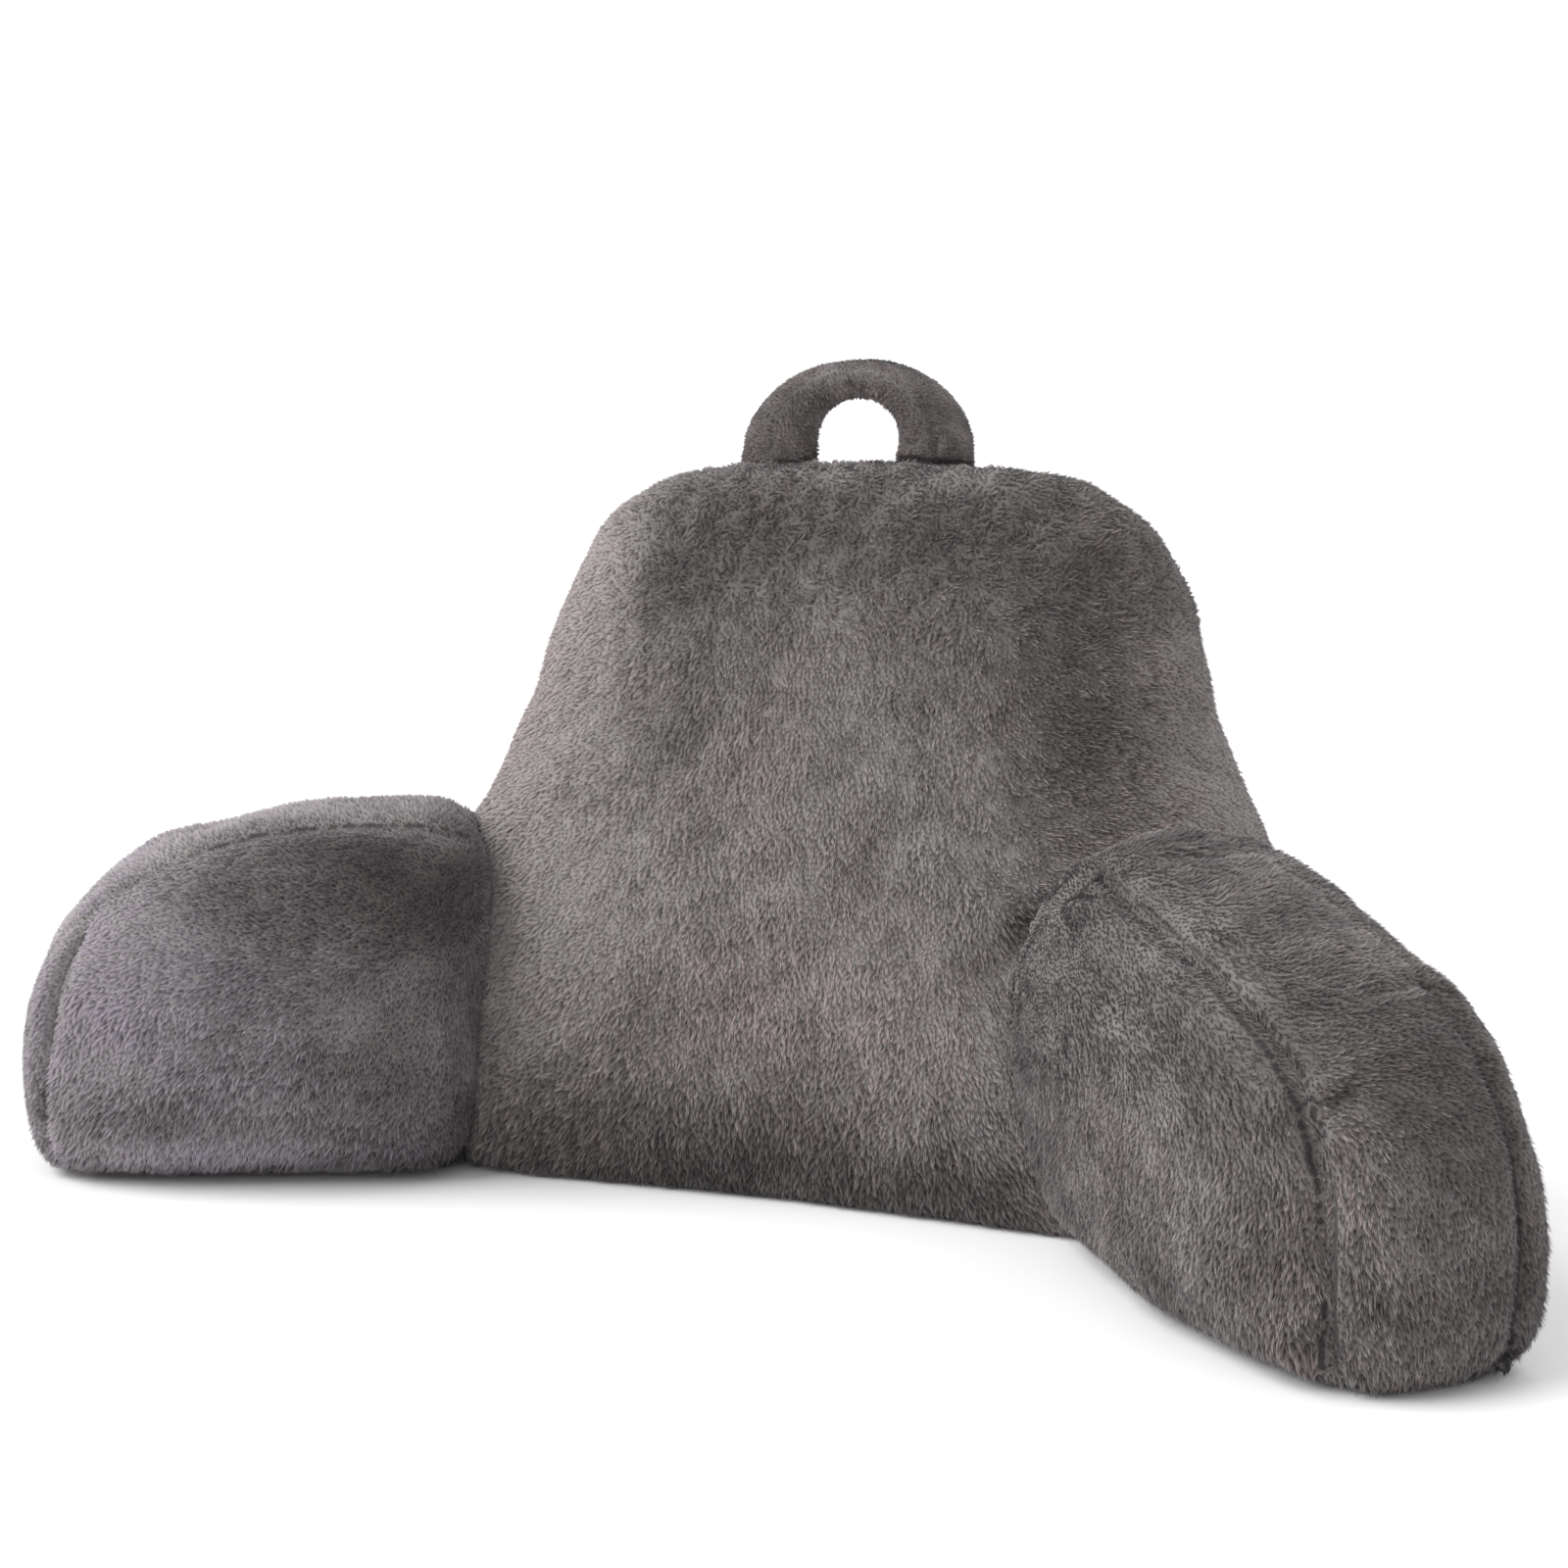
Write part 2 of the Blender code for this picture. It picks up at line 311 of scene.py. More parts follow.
def inflate(piece, hold, pressure, most):
    """Blow the cover up with the cloth solver, no point moving further than most."""
    start = points_of(piece.data)
    group = piece.vertex_groups.new(name="held")
    for index in np.nonzero(hold > 0.01)[0]:
        group.add([int(index)], float(hold[index]), "REPLACE")
    cloth = piece.modifiers.new("swell", "CLOTH")
    cloth.settings.quality = 5
    cloth.settings.mass = 0.3
    cloth.settings.tension_stiffness = 12
    cloth.settings.compression_stiffness = 12
    cloth.settings.shear_stiffness = 6
    cloth.settings.bending_stiffness = 1.5
    cloth.settings.use_pressure = True
    cloth.settings.uniform_pressure_force = pressure
    cloth.settings.effector_weights.gravity = 0
    cloth.settings.vertex_group_mass = "held"
    cloth.settings.shrink_min = -0.02
    cloth.collision_settings.use_collision = False
    for step in range(1, SWELL_STEPS + 1):
        scene.frame_set(step)
    apply_modifiers(piece)
    scene.frame_set(1)
    moved = points_of(piece.data) - start
    length = np.linalg.norm(moved, axis=1)
    share = np.minimum(1, most / np.maximum(length, 1e-9))
    moved = neighbours_average(piece.data, moved * share[:, None], 2)
    set_points(piece.data, start + moved)
    print(piece.name, "swelled by", round(float(np.linalg.norm(moved, axis=1).mean()) * 1000, 1), "mm")


def fill_out(mesh, tree, depth, free):
    """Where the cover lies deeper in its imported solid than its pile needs, bring it out."""
    for _ in range(2):
        points = points_of(mesh)
        short = np.zeros(len(points))
        for number, point in enumerate(points):
            place, way, _, distance = tree.find_nearest(Vector(point))
            inside = (place - Vector(point)).dot(way) > 0
            short[number] = (distance if inside else -distance) - depth
        short = neighbours_average(mesh, np.clip(short, 0, 0.020) * free, 2)
        set_points(mesh, points + normals_of(mesh) * short[:, None])


# %% [markdown]
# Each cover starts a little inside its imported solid, because it will swell, and because
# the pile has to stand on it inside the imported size.

# %% The four covers
JOIN_START = 0.004           # a cover is held where a neighbour is nearer than this
JOIN_REACH = 0.012           # and freer and freer over this distance beyond
LYING = 0.004                # it is also held this far up from the floor
DRAWN_SHARE = 0.55           # how much of the greatest swelling it is drawn in by first
PILE_DEPTH = 0.45            # depth that lying pile takes up, as a share of its length


def soft_cover(name, node, cell, joined_to, pile, pressure, most):
    """The node's skin, drawn in by the depth of its pile and then blown up."""
    mesh = merged_copy(node)
    cover = bpy.data.objects.new(name, mesh)
    scene.collection.objects.link(cover)
    remesh = cover.modifiers.new("even_cells", "REMESH")
    remesh.mode = "VOXEL"
    remesh.voxel_size = cell
    apply_modifiers(cover)
    mesh = cover.data
    points = points_of(mesh)
    joins = [distances_to(tree_of(merged_copy(other)), points) for other in joined_to]
    away = np.clip((np.min(joins, axis=0) - JOIN_START) / JOIN_REACH, 0, 1)
    lying = np.clip(1 - points[:, 2] / LYING, 0, 1)
    drawn_in = (pile + most * DRAWN_SHARE) * away * (1 - lying)
    drawn_in = neighbours_average(mesh, drawn_in, 3)
    set_points(mesh, points - normals_of(mesh) * drawn_in[:, None])
    inflate(cover, np.maximum(1 - away, lying), pressure, most)
    fill_out(cover.data, tree_of(merged_copy(node)), PILE_DEPTH * pile, away * (1 - lying))
    points = points_of(cover.data)
    points[:, 2] = np.maximum(points[:, 2], FLOOR_CLEARANCE)
    set_points(cover.data, points)
    cover.data.shade_smooth()
    print(name, len(cover.data.polygons), "faces")
    return cover


# Cover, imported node, cell size, joined nodes, pile length, pressure and greatest swelling.
COVER_ROWS = (
    ("backrest_cover", "backrest", 0.0060, ("arm_left", "arm_right", "carry_handle"), 0.0050, 3.0, 0.006),
    ("arm_left_cover", "arm_left", 0.0052, ("backrest",), 0.0050, 3.0, 0.006),
    ("arm_right_cover", "arm_right", 0.0052, ("backrest",), 0.0050, 3.0, 0.006),
    ("handle_cover", "carry_handle", 0.0030, ("backrest",), 0.0016, 2.0, 0.002),
)
COVERS = {row[0]: soft_cover(*row) for row in COVER_ROWS}

# %% [markdown]
# ## Seams, folds and lumps
# Where two panels are sewn together the thread pulls the cloth down into the filling, and
# the pile parts over it in a thin dark line. Each seam is a line laid on the cover, and the
# cloth near it sinks. How near a point is to a seam is stored on the cover, because the pile
# is shorter there, and pile and cloth are painted darker along it, as painted shade in the
# groove. The filling is a little lumpy, and the cloth has a few soft folds where the right
# arm is bent against the back.

# %% Soft noise and stored values
def soft_noise(points, scale, seed):
    """Smooth lumps, between about -1 and 1, from a few crossed waves of random direction."""
    wave = np.random.default_rng(seed)
    total = np.zeros(len(points))
    for _ in range(14):
        way = wave.normal(size=3)
        way /= np.linalg.norm(way)
        speed = wave.uniform(0.6, 1.5) * 2 * math.pi / scale
        total += np.sin(points @ way * speed + wave.uniform(0, 2 * math.pi))
    return total / 3.7


def store(mesh, name, values):
    """Keep one number or one direction for each vertex of a cover."""
    kind = "FLOAT" if values.ndim == 1 else "FLOAT_VECTOR"
    data = mesh.attributes.new(name, kind, "POINT").data
    data.foreach_set("value" if values.ndim == 1 else "vector", values.astype(np.float32).ravel())


def read(mesh, name, width=1):
    values = np.empty(len(mesh.vertices) * width, np.float32)
    field = "value" if width == 1 else "vector"
    mesh.attributes[name].data.foreach_get(field, values)
    return values if width == 1 else values.reshape(-1, width)


# %% [markdown]
# A seam is drawn as a line in space and laid down on the nearest place of the cover. The
# cells beside it are halved a few times, since a sewn line is much finer than the rest.

# %% Lines on a cover
def lay_line(mesh, line, step=0.002):
    """A line of even small steps, laid down on the nearest place of a cover."""
    tree = tree_of(mesh)
    run = np.concatenate([[0], np.cumsum(np.linalg.norm(np.diff(line, axis=0), axis=1))])
    fine = np.linspace(0, run[-1], max(8, int(run[-1] / step)))
    line = np.stack([np.interp(fine, run, line[:, k]) for k in range(3)], axis=1)
    return np.array([tree.find_nearest(Vector(point))[0][:] for point in line])


def reach_from(mesh, places):
    """For each vertex, how far the nearest of the places is, and the way from it."""
    kd = KDTree(len(places))
    for number, place in enumerate(places):
        kd.insert(Vector(place), number)
    kd.balance()
    points = points_of(mesh)
    found = [kd.find(Vector(point)) for point in points]
    nearest = np.array([f[0][:] for f in found])
    distance = np.array([f[2] for f in found])
    return distance, (points - nearest) / np.maximum(distance, 1e-6)[:, None]


def refine(mesh, places, reach):
    """Halve the cells that lie within reach of the places, so that a sharp fold can form."""
    distance = reach_from(mesh, places)[0]
    shape = bmesh.new()
    shape.from_mesh(mesh)
    shape.verts.ensure_lookup_table()
    near = [edge for edge in shape.edges
            if max(distance[vertex.index] for vertex in edge.verts) < reach]
    bmesh.ops.subdivide_edges(shape, edges=near, cuts=1, use_grid_fill=True)
    bmesh.ops.triangulate(shape, faces=[face for face in shape.faces if len(face.verts) > 4])
    shape.to_mesh(mesh)
    shape.free()
    mesh.shade_smooth()


# %% Sewing, folding and lumps
SEAM_LINE = 0.0015           # half width of the line where no pile grows
PARTING = 0.0055             # half width of the strip where it leans away
SEAM_VEIL = (0.17, 0.04)     # from this height and over this rise, pile half hides a seam


def sink(mesh, amount):
    """Move each vertex into the filling by its own amount."""
    points = points_of(mesh) - normals_of(mesh) * amount[:, None]
    points[:, 2] = np.maximum(points[:, 2], FLOOR_CLEARANCE)
    set_points(mesh, points)


def hill(distance, width):
    return np.exp(-((distance / width) ** 2))


def sew(cover, seams, depth, width, reaches):
    """Pull the cover in along its seams, and remember how the pile parts over them."""
    mesh = cover.data
    places = np.concatenate([lay_line(mesh, seam) for seam in seams])
    for reach in reaches:
        refine(mesh, places, reach)
    distance = reach_from(mesh, places)[0]
    sink(mesh, depth * (0.65 * hill(distance, width) + 0.35 * hill(distance, 2.4 * width)))
    places = np.concatenate([lay_line(mesh, seam, 0.001) for seam in seams])
    distance, away = reach_from(mesh, places)
    hidden = np.clip((points_of(mesh)[:, 2] - SEAM_VEIL[0]) / SEAM_VEIL[1], 0, 1)
    # The seam value also paints shade into the pile and the cloth along the groove.
    store(mesh, "seam", hill(distance, SEAM_LINE) * (1 - 0.55 * hidden))
    store(mesh, "part", away * hill(distance, PARTING)[:, None])
    print(cover.name, "has", len(seams), "seams")


def crease(cover, line, depth, width):
    """A soft fold: a valley that fades out at both ends."""
    mesh = cover.data
    places = lay_line(mesh, np.array(line))
    fade = np.sin(np.linspace(0, math.pi, len(places))) ** 0.6
    kd = KDTree(len(places))
    for number, place in enumerate(places):
        kd.insert(Vector(place), number)
    kd.balance()
    found = [kd.find(Vector(point)) for point in points_of(mesh)]
    distance = np.array([f[2] for f in found])
    strength = fade[[f[1] for f in found]]
    sink(mesh, depth * strength * (hill(distance, width) - 0.45 * hill(distance - 2.2 * width, width)))


def lump(cover, height, scale, seed):
    mesh = cover.data
    points = points_of(mesh)
    lumps = soft_noise(points, scale, seed) + 0.5 * soft_noise(points, scale * 0.45, seed + 1)
    free = np.clip(points[:, 2] / 0.03, 0, 1)
    sink(mesh, lumps * height * free)


# %% [markdown]
# The back has one seam, between the wrap of its front panel and its rear panel. Each arm
# has two, on either side of its gusset. Folds run where the right arm is bent: into its
# seams, and round its root. Two more pinch the handle, and two dent the back.

# %% Where the seams and folds are
BACK_HEIGHT = 0.473
BELLY_HEIGHT = 0.198
BACK_WIDE = (0.262, 0.219)   # half width at the foot and at the crest
BACK_DEEP = (0.095, 0.061)   # half depth
BACK_CENTRE = 0.0161         # sideways place of its middle
BACK_LEAN = (0.077, 0.096)   # place of its middle at the foot, and how much further back the crest
BACK_SQUARENESS = 5.6
SHOULDER_DROP = 0.018
SLIM_LEFT = (0.49, 0.0115)   # from this share of the height, the left side is this much narrower


def back_seam(through=0.62):
    """The seam between the wrap of the front panel and the rear panel, up one side and over."""
    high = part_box("backrest")[1]
    turn = np.linspace(0.02, math.pi - 0.02, 160)
    across = np.sign(np.cos(turn)) * np.abs(np.cos(turn)) ** (2 / BACK_SQUARENESS)
    reach = high[2] - BELLY_HEIGHT
    height = BELLY_HEIGHT + reach * np.sin(turn) ** (2 / BACK_SQUARENESS) - SHOULDER_DROP * across**2
    level = height / BACK_HEIGHT
    middle = BACK_LEAN[0] + BACK_LEAN[1] * level
    wide = BACK_WIDE[0] + (BACK_WIDE[1] - BACK_WIDE[0]) * level
    depth = BACK_DEEP[0] + (BACK_DEEP[1] - BACK_DEEP[0]) * level
    above_arm = np.clip((level - SLIM_LEFT[0]) / (1 - SLIM_LEFT[0]), 0, 1)
    slim = SLIM_LEFT[1] * np.abs(np.sin(math.pi * above_arm)) ** 0.7 * (across < 0)
    return np.stack([across * wide + slim + BACK_CENTRE, middle + through * depth, height], axis=1)


def arm_line(arm, *stops):
    """A line through stops given as distance along, distance outward and height."""
    stops = np.array(stops)
    return arm_to_world(arm, stops[:, 0], stops[:, 1], stops[:, 2])


# Cover, depth and width of the valley, and its line. A negative depth makes a ridge. Lines
# on the right arm are given along, outward and up, the rest across, through and up.
ARM_FOLDS = (
    (0.0045, 0.006, (0.02, 0.00, 0.235), (0.035, 0.04, 0.26), (0.03, 0.09, 0.26)),
    (0.0035, 0.007, (0.045, 0.01, 0.24), (0.065, 0.05, 0.26), (0.06, 0.10, 0.25)),
)
FOLDS = (
    ("arm_right_cover", 0.0050, 0.005, (0.396, -0.21, 0.152), (0.412, -0.21, 0.168), (0.428, -0.20, 0.180)),
    ("arm_right_cover", 0.0045, 0.005, (0.415, -0.15, 0.215), (0.432, -0.13, 0.220), (0.448, -0.11, 0.218)),
    ("arm_right_cover", 0.0022, 0.007, (0.400, -0.22, 0.135), (0.420, -0.22, 0.138), (0.440, -0.22, 0.145)),
    ("arm_right_cover", -0.0055, 0.005, (0.200, -0.02, 0.222), (0.212, -0.04, 0.226), (0.226, -0.05, 0.224)),
    ("handle_cover", 0.0045, 0.0032, (0.002, 0.16, 0.496), (-0.001, 0.16, 0.505), (-0.006, 0.16, 0.516)),
    ("handle_cover", 0.0040, 0.0030, (0.055, 0.16, 0.508), (0.060, 0.16, 0.490), (0.062, 0.16, 0.462)),
    ("backrest_cover", 0.006, 0.007, (0.155, 0.02, 0.165), (0.170, 0.02, 0.195), (0.185, 0.03, 0.215)),
    ("backrest_cover", 0.004, 0.006, (-0.115, 0.10, 0.440), (-0.110, 0.12, 0.458), (-0.105, 0.15, 0.470)),
)


def fold_all():
    for depth, width, *line in ARM_FOLDS:
        crease(COVERS["arm_right_cover"], arm_line(ARMS["arm_right"], *line), depth, width)
    for name, depth, width, *line in FOLDS:
        crease(COVERS[name], line, depth, width)
    print(len(ARM_FOLDS) + len(FOLDS), "folds")


def sew_all():
    sew(COVERS["backrest_cover"], [back_seam()], 0.0040, 0.0050, (0.016, 0.008))
    for name, arm in ARMS.items():
        sew(COVERS[name + "_cover"], [inner_seam(arm), outer_seam(arm)], 0.0070, 0.0046,
            (0.016, 0.008, 0.0038))
    handle = COVERS["handle_cover"].data
    store(handle, "seam", np.zeros(len(handle.vertices)))
    store(handle, "part", np.zeros((len(handle.vertices), 3)))


lump(COVERS["backrest_cover"], 0.0022, 0.15, 11)
lump(COVERS["arm_left_cover"], 0.0016, 0.12, 21)
lump(COVERS["arm_right_cover"], 0.0018, 0.12, 31)
fold_all()
sew_all()

# %% [markdown]
# ## Which way the pile lies
# Plush has a nap: its hairs lean one way, where the cloth was brushed or stroked. Down the
# front it hangs, on the sides it sweeps outward and down, near the crest it curls at random.
# Each cover stores this direction, how long the pile is, and a shade from dark to pale:
# partly the lighter and darker strokes of handled plush, partly painted light and shade.
# A second value says how much of a rosy or bluish dye the hairs have there. Over a seam and
# beside a join the pile parts, and it is painted darker there as shade.

# %% Tools for the nap
def turn_field(mesh, main, swirl, scale, seed):
    """A direction in the surface: main, turned by soft random angles of up to about swirl."""
    points = points_of(mesh)
    normals = normals_of(mesh)
    noise = np.stack([soft_noise(points, scale, seed + k) for k in range(3)], axis=1)
    way = main + noise * swirl[:, None]
    way -= normals * (way * normals).sum(axis=1)[:, None]
    return way / np.maximum(np.linalg.norm(way, axis=1), 1e-6)[:, None]


def patch(places, centre, size):
    """A soft patch that is 1 at its centre. A size of 0 lets it run on in that direction."""
    total = np.zeros(len(places))
    for axis in range(3):
        if size[axis]:
            total += ((places[:, axis] - centre[axis]) / size[axis]) ** 2
    return np.exp(-total)


def add_patches(values, places, patches):
    for strength, centre, size in patches:
        values = values + strength * patch(places, centre, size)
    return values


# %% [markdown]
# Plush shows every stroke of the hand: pile brushed one way looks pale, the other way dark.
# Many patches also hold painted light and shade, paler where the window light falls.
# These soft patches are given in metres on the back and along each arm.

# %% Strokes with painted light and shade, and blushes
# Strokes and painted light and shade on the back: strength, then centre and size across,
# through and up. The pale patches on the left side are painted light, where it faces the
# window. The dark ones along the foot, where the back curves under, and on its right part
# are painted shade.
BACK_STROKES_AND_PAINTED_LIGHT = (
    (0.42, (-0.220, 0.0, 0.30), (0.060, 0, 0.17)),
    (0.22, (-0.160, 0.0, 0.42), (0.035, 0, 0.05)),
    (0.20, (-0.150, 0.0, 0.19), (0.060, 0, 0.06)),
    (-0.28, (-0.03, 0.0, 0.42), (0.10, 0, 0.035)),
    (-0.30, (0.12, 0.0, 0.42), (0.09, 0, 0.032)),
    (-0.18, (0.17, 0.0, 0.34), (0.06, 0, 0.060)),
    (0.30, (0.265, 0.0, 0.26), (0.035, 0, 0.09)),
    (-0.16, (0.20, 0.0, 0.28), (0.05, 0, 0.050)),
    (-0.12, (-0.085, 0.0, 0.34), (0.045, 0, 0.070)),
    (0.12, (0.02, 0.0, 0.25), (0.08, 0, 0.080)),
    (0.14, (-0.04, 0.0, 0.15), (0.13, 0, 0.055)),
    (0.12, (0.10, 0.0, 0.10), (0.05, 0, 0.050)),
    (-0.16, (-0.12, 0.0, 0.055), (0.07, 0, 0.022)),
    (-0.44, (-0.08, 0.0, 0.012), (0.16, 0, 0.036)),
    (-0.34, (0.10, 0.0, 0.015), (0.09, 0, 0.030)),
    (0.08, (0.02, 0.0, 0.475), (0.16, 0, 0.018)),
    (-0.12, (-0.02, 0.0, 0.445), (0.14, 0, 0.020)),
    (-0.28, (-0.10, 0.0, 0.390), (0.040, 0, 0.030)),
    (-0.26, (0.19, 0.0, 0.385), (0.040, 0, 0.035)),
    (-0.12, (-0.05, 0.0, 0.055), (0.11, 0, 0.030)),
    (0.22, (-0.165, 0.0, 0.33), (0.035, 0, 0.060)),
    (0.20, (-0.215, 0.0, 0.13), (0.035, 0, 0.080)),
)
BACK_BLUSH = (
    (0.50, (0.00, 0.0, 0.13), (0.14, 0, 0.05)),
    (0.40, (-0.02, 0.0, 0.26), (0.03, 0, 0.10)),
    (0.45, (-0.21, 0.0, 0.36), (0.04, 0, 0.10)),
    (0.35, (0.23, 0.0, 0.25), (0.03, 0, 0.10)),
)
# Strokes and painted light and shade on the arms: along the arm, outward from the inner
# seam, and up. On the left arm the pale patch near its toe is a painted highlight, and the
# dark one in its recessed top corner by the back is painted shade.
LEFT_STROKES_AND_PAINTED_LIGHT = (
    (0.52, (0.260, 0.0, 0.14), (0.060, 0.09, 0.075)),
    (0.22, (0.18, 0.0, 0.10), (0.060, 0.05, 0.050)),
    (-0.56, (0.06, -0.01, 0.195), (0.095, 0.04, 0.034)),
    (-0.04, (0.02, 0.0, 0.120), (0.050, 0.04, 0.080)),
    (0.50, (0.19, 0.0, 0.027), (0.090, 0.05, 0.013)),
    (-0.12, (0.18, 0.0, 0.055), (0.070, 0.05, 0.015)),
    (-0.28, (0.02, 0.0, 0.020), (0.060, 0.05, 0.035)),
    (0.32, (0.18, 0.06, 0.230), (0.160, 0.05, 0.035)),
    (0.15, (0.30, 0.05, 0.10), (0.020, 0.05, 0.100)),
)
LEFT_BLUSH = (
    (0.75, (0.22, 0.0, 0.13), (0.090, 0, 0.070)),
    (0.75, (0.15, 0.0, 0.02), (0.120, 0, 0.020)),
    (0.60, (0.00, 0.0, 0.03), (0.050, 0, 0.050)),
)
RIGHT_STROKES_AND_PAINTED_LIGHT = (
    (0.16, (0.10, -0.04, 0.10), (0.070, 0.03, 0.060)),
    (-0.14, (0.17, -0.03, 0.17), (0.060, 0.03, 0.030)),
    (0.18, (0.22, -0.01, 0.06), (0.030, 0.02, 0.050)),
    (0.10, (0.08, 0.07, 0.24), (0.080, 0.05, 0.030)),
    (-0.14, (0.29, 0.06, 0.16), (0.040, 0.04, 0.040)),
    (-0.12, (0.30, 0.10, 0.05), (0.040, 0.03, 0.050)),
    (-0.25, (0.30, 0.115, 0.015), (0.030, 0.02, 0.015)),
    (0.32, (0.20, 0.135, 0.15), (0.120, 0.02, 0.100)),
    (-0.22, (0.24, 0.06, 0.19), (0.035, 0.04, 0.035)),
    (-0.10, (0.02, 0.03, 0.22), (0.040, 0.04, 0.040)),
)
RIGHT_BLUSH = (
    (0.60, (0.25, -0.01, 0.08), (0.040, 0.02, 0.080)),
    (0.60, (0.20, 0.135, 0.12), (0.120, 0.03, 0.100)),
    (0.40, (0.10, -0.04, 0.10), (0.050, 0.03, 0.040)),
)


# %% [markdown]
# Every piece is brushed its own way: the back downward and out over its sides, an arm
# forward along its top and down its faces, the handle away from the middle of its strap.

# %% How each piece is brushed
def nap_backrest(mesh):
    p = points_of(mesh)
    crest = np.clip((p[:, 2] - 0.35) / 0.06, 0, 1)
    over = np.clip(normals_of(mesh)[:, 2] * 1.6 - 0.5, 0, 1)
    crest = crest * (1 - 0.8 * over)
    store(mesh, "wild", 0.35 + 0.75 * crest)
    left = np.clip((-0.05 - p[:, 0]) / 0.09, 0, 1)
    right = np.clip((p[:, 0] - 0.10) / 0.09, 0, 1)
    main = np.zeros_like(p)
    main[:, 2] = -1 + 0.80 * crest + 0.45 * right
    main[:, 0] = -0.65 * left + 0.85 * right + 0.10
    main[:, 1] = 0.5 * (left + right) + 0.3 * crest
    way = turn_field(mesh, main, 0.20 + 0.80 * crest, 0.022, 41)
    shade = 0.56 + 0.07 * soft_noise(p, 0.10, 51) + 0.05 * soft_noise(p, 0.035, 53)
    shade = add_patches(shade, p, BACK_STROKES_AND_PAINTED_LIGHT)
    blush = add_patches(0.25 + 0.15 * soft_noise(p, 0.07, 55), p, BACK_BLUSH)
    return way, shade, blush


def nap_arm(mesh, arm, strokes_and_painted_light, blushes, seed):
    p = points_of(mesh)
    places = np.stack(world_to_arm(arm, p), axis=1)
    along, outward, height = places.T
    splay = math.radians(arm["splay"])
    forward = np.array([arm["side"] * math.sin(splay), -math.cos(splay), 0.0])
    across = np.array([arm["side"] * math.cos(splay), math.sin(splay), 0.0])
    top = np.clip((height - 0.11) / 0.06, 0, 1)
    on_gusset = np.clip(outward / 0.02, 0, 1)
    main = forward * (0.35 + 0.65 * top * (1 - on_gusset))[:, None]
    main = main + across * (0.8 * on_gusset * top)[:, None]
    main[:, 2] -= 1.0 - 0.75 * top
    way = turn_field(mesh, main, 0.15 + 0.15 * top, 0.05, seed)
    inner = np.clip(-outward / 0.02, 0, 1)
    store(mesh, "wild", 0.30 + 0.40 * top * inner * (arm["side"] > 0))
    # The right arm's base is set lower as painted shade, since it turns away from the window light.
    shade = 0.53 if arm["side"] < 0 else 0.41
    shade = shade + 0.07 * soft_noise(p, 0.09, seed + 5) + 0.05 * soft_noise(p, 0.035, seed + 7)
    shade = add_patches(shade, places, strokes_and_painted_light)
    blush = add_patches(0.20 + 0.15 * soft_noise(p, 0.07, seed + 9), places, blushes)
    return way, shade, blush


def nap_handle(mesh):
    """Across the strap, away from its middle line."""
    p = points_of(mesh)
    low, high = (np.array(corner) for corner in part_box("carry_handle"))
    centre = np.array([(low[0] + high[0]) / 2, 0, high[2] - 0.062])
    radial = (p - centre) * np.array([1, 0, 1])
    reach = np.linalg.norm(radial, axis=1)
    radial /= np.maximum(reach, 1e-6)[:, None]
    main = radial * np.where(reach > 0.056, 1.0, -0.8)[:, None]
    main[:, 2] -= 0.3
    way = turn_field(mesh, main, np.full(len(p), 0.25), 0.03, 90)
    store(mesh, "wild", np.full(len(p), 0.4))
    shade = 0.30 + 0.10 * soft_noise(p, 0.03, 91)
    return way, shade, 0.75 + 0.2 * soft_noise(p, 0.05, 93)


# %% [markdown]
# The direction, shade and length are now kept on the covers, with what seams and joins do
# to them. Hairs that would lie across a seam are shorter there, so the line stays open.

# %% Keep the nap on the covers
JOIN_PARTING = 0.006         # how far from a join the pile leans away
JOIN_SHADE = 0.003           # and how far it is painted darker, as shade between the parts
JOIN_BARE = 0.0020           # nearer than this to a neighbour no pile grows
# The covers whose join each cover's pile parts at. The crest's pile hides the handle's feet.
BESIDE = {"backrest_cover": ("arm_left_cover", "arm_right_cover"),
          "arm_left_cover": ("backrest_cover",), "arm_right_cover": ("backrest_cover",),
          "handle_cover": ()}


def store_nap(cover, way, shade, blush, seed):
    mesh = cover.data
    p = points_of(mesh)
    normals = normals_of(mesh)
    seam = read(mesh, "seam")
    others = [COVERS[name] for name in BESIDE[cover.name]]
    gap = np.full(len(p), 0.05)
    aside = np.zeros_like(p)
    for other in others:
        tree = tree_of(other.data)
        for number, point in enumerate(p):
            place, _, _, distance = tree.find_nearest(Vector(point), 0.03)
            if place is not None and distance < gap[number]:
                gap[number] = distance
                aside[number] = (point - np.array(place[:])) / max(distance, 1e-6)
    beside = hill(gap, JOIN_PARTING)
    parting = read(mesh, "part", 3)
    near = np.linalg.norm(parting, axis=1)
    way = way + 0.55 * parting + 1.0 * aside * beside[:, None]
    way -= normals * (way * normals).sum(axis=1)[:, None]
    way /= np.maximum(np.linalg.norm(way, axis=1), 1e-6)[:, None]
    over = np.clip(-(way * parting).sum(axis=1), 0, 1)
    lying = np.clip(1 - p[:, 2] / LYING, 0, 1) * (normals[:, 2] < -0.5)
    bare = np.clip(1.3 * seam, 0, 1) + (gap < JOIN_BARE)
    store(mesh, "nap", way)
    store(mesh, "up", normals)
    # Painted shade: the pile is darker along the seams and beside the joins, where shade falls between the
    # parts.
    store(mesh, "shade", np.clip(shade - 0.25 * seam - 0.25 * hill(gap, JOIN_SHADE), 0.02, 0.98))
    store(mesh, "blush", np.clip(blush, 0, 1))
    short = np.clip(np.abs(normals[:, 0]) - 0.35, 0, 0.5) + np.clip(normals[:, 2], 0, 0.5)
    length = (1 - 0.30 * near - 0.35 * over - 0.20 * beside) * (1 - 0.45 * short)
    store(mesh, "fluff", length * (1 + 0.10 * soft_noise(p, 0.03, seed)))
    store(mesh, "grows", np.clip(1 - bare, 0, 1) * (1 - lying))
    print(cover.name, "combed, mean shade", round(float(shade.mean()), 2))


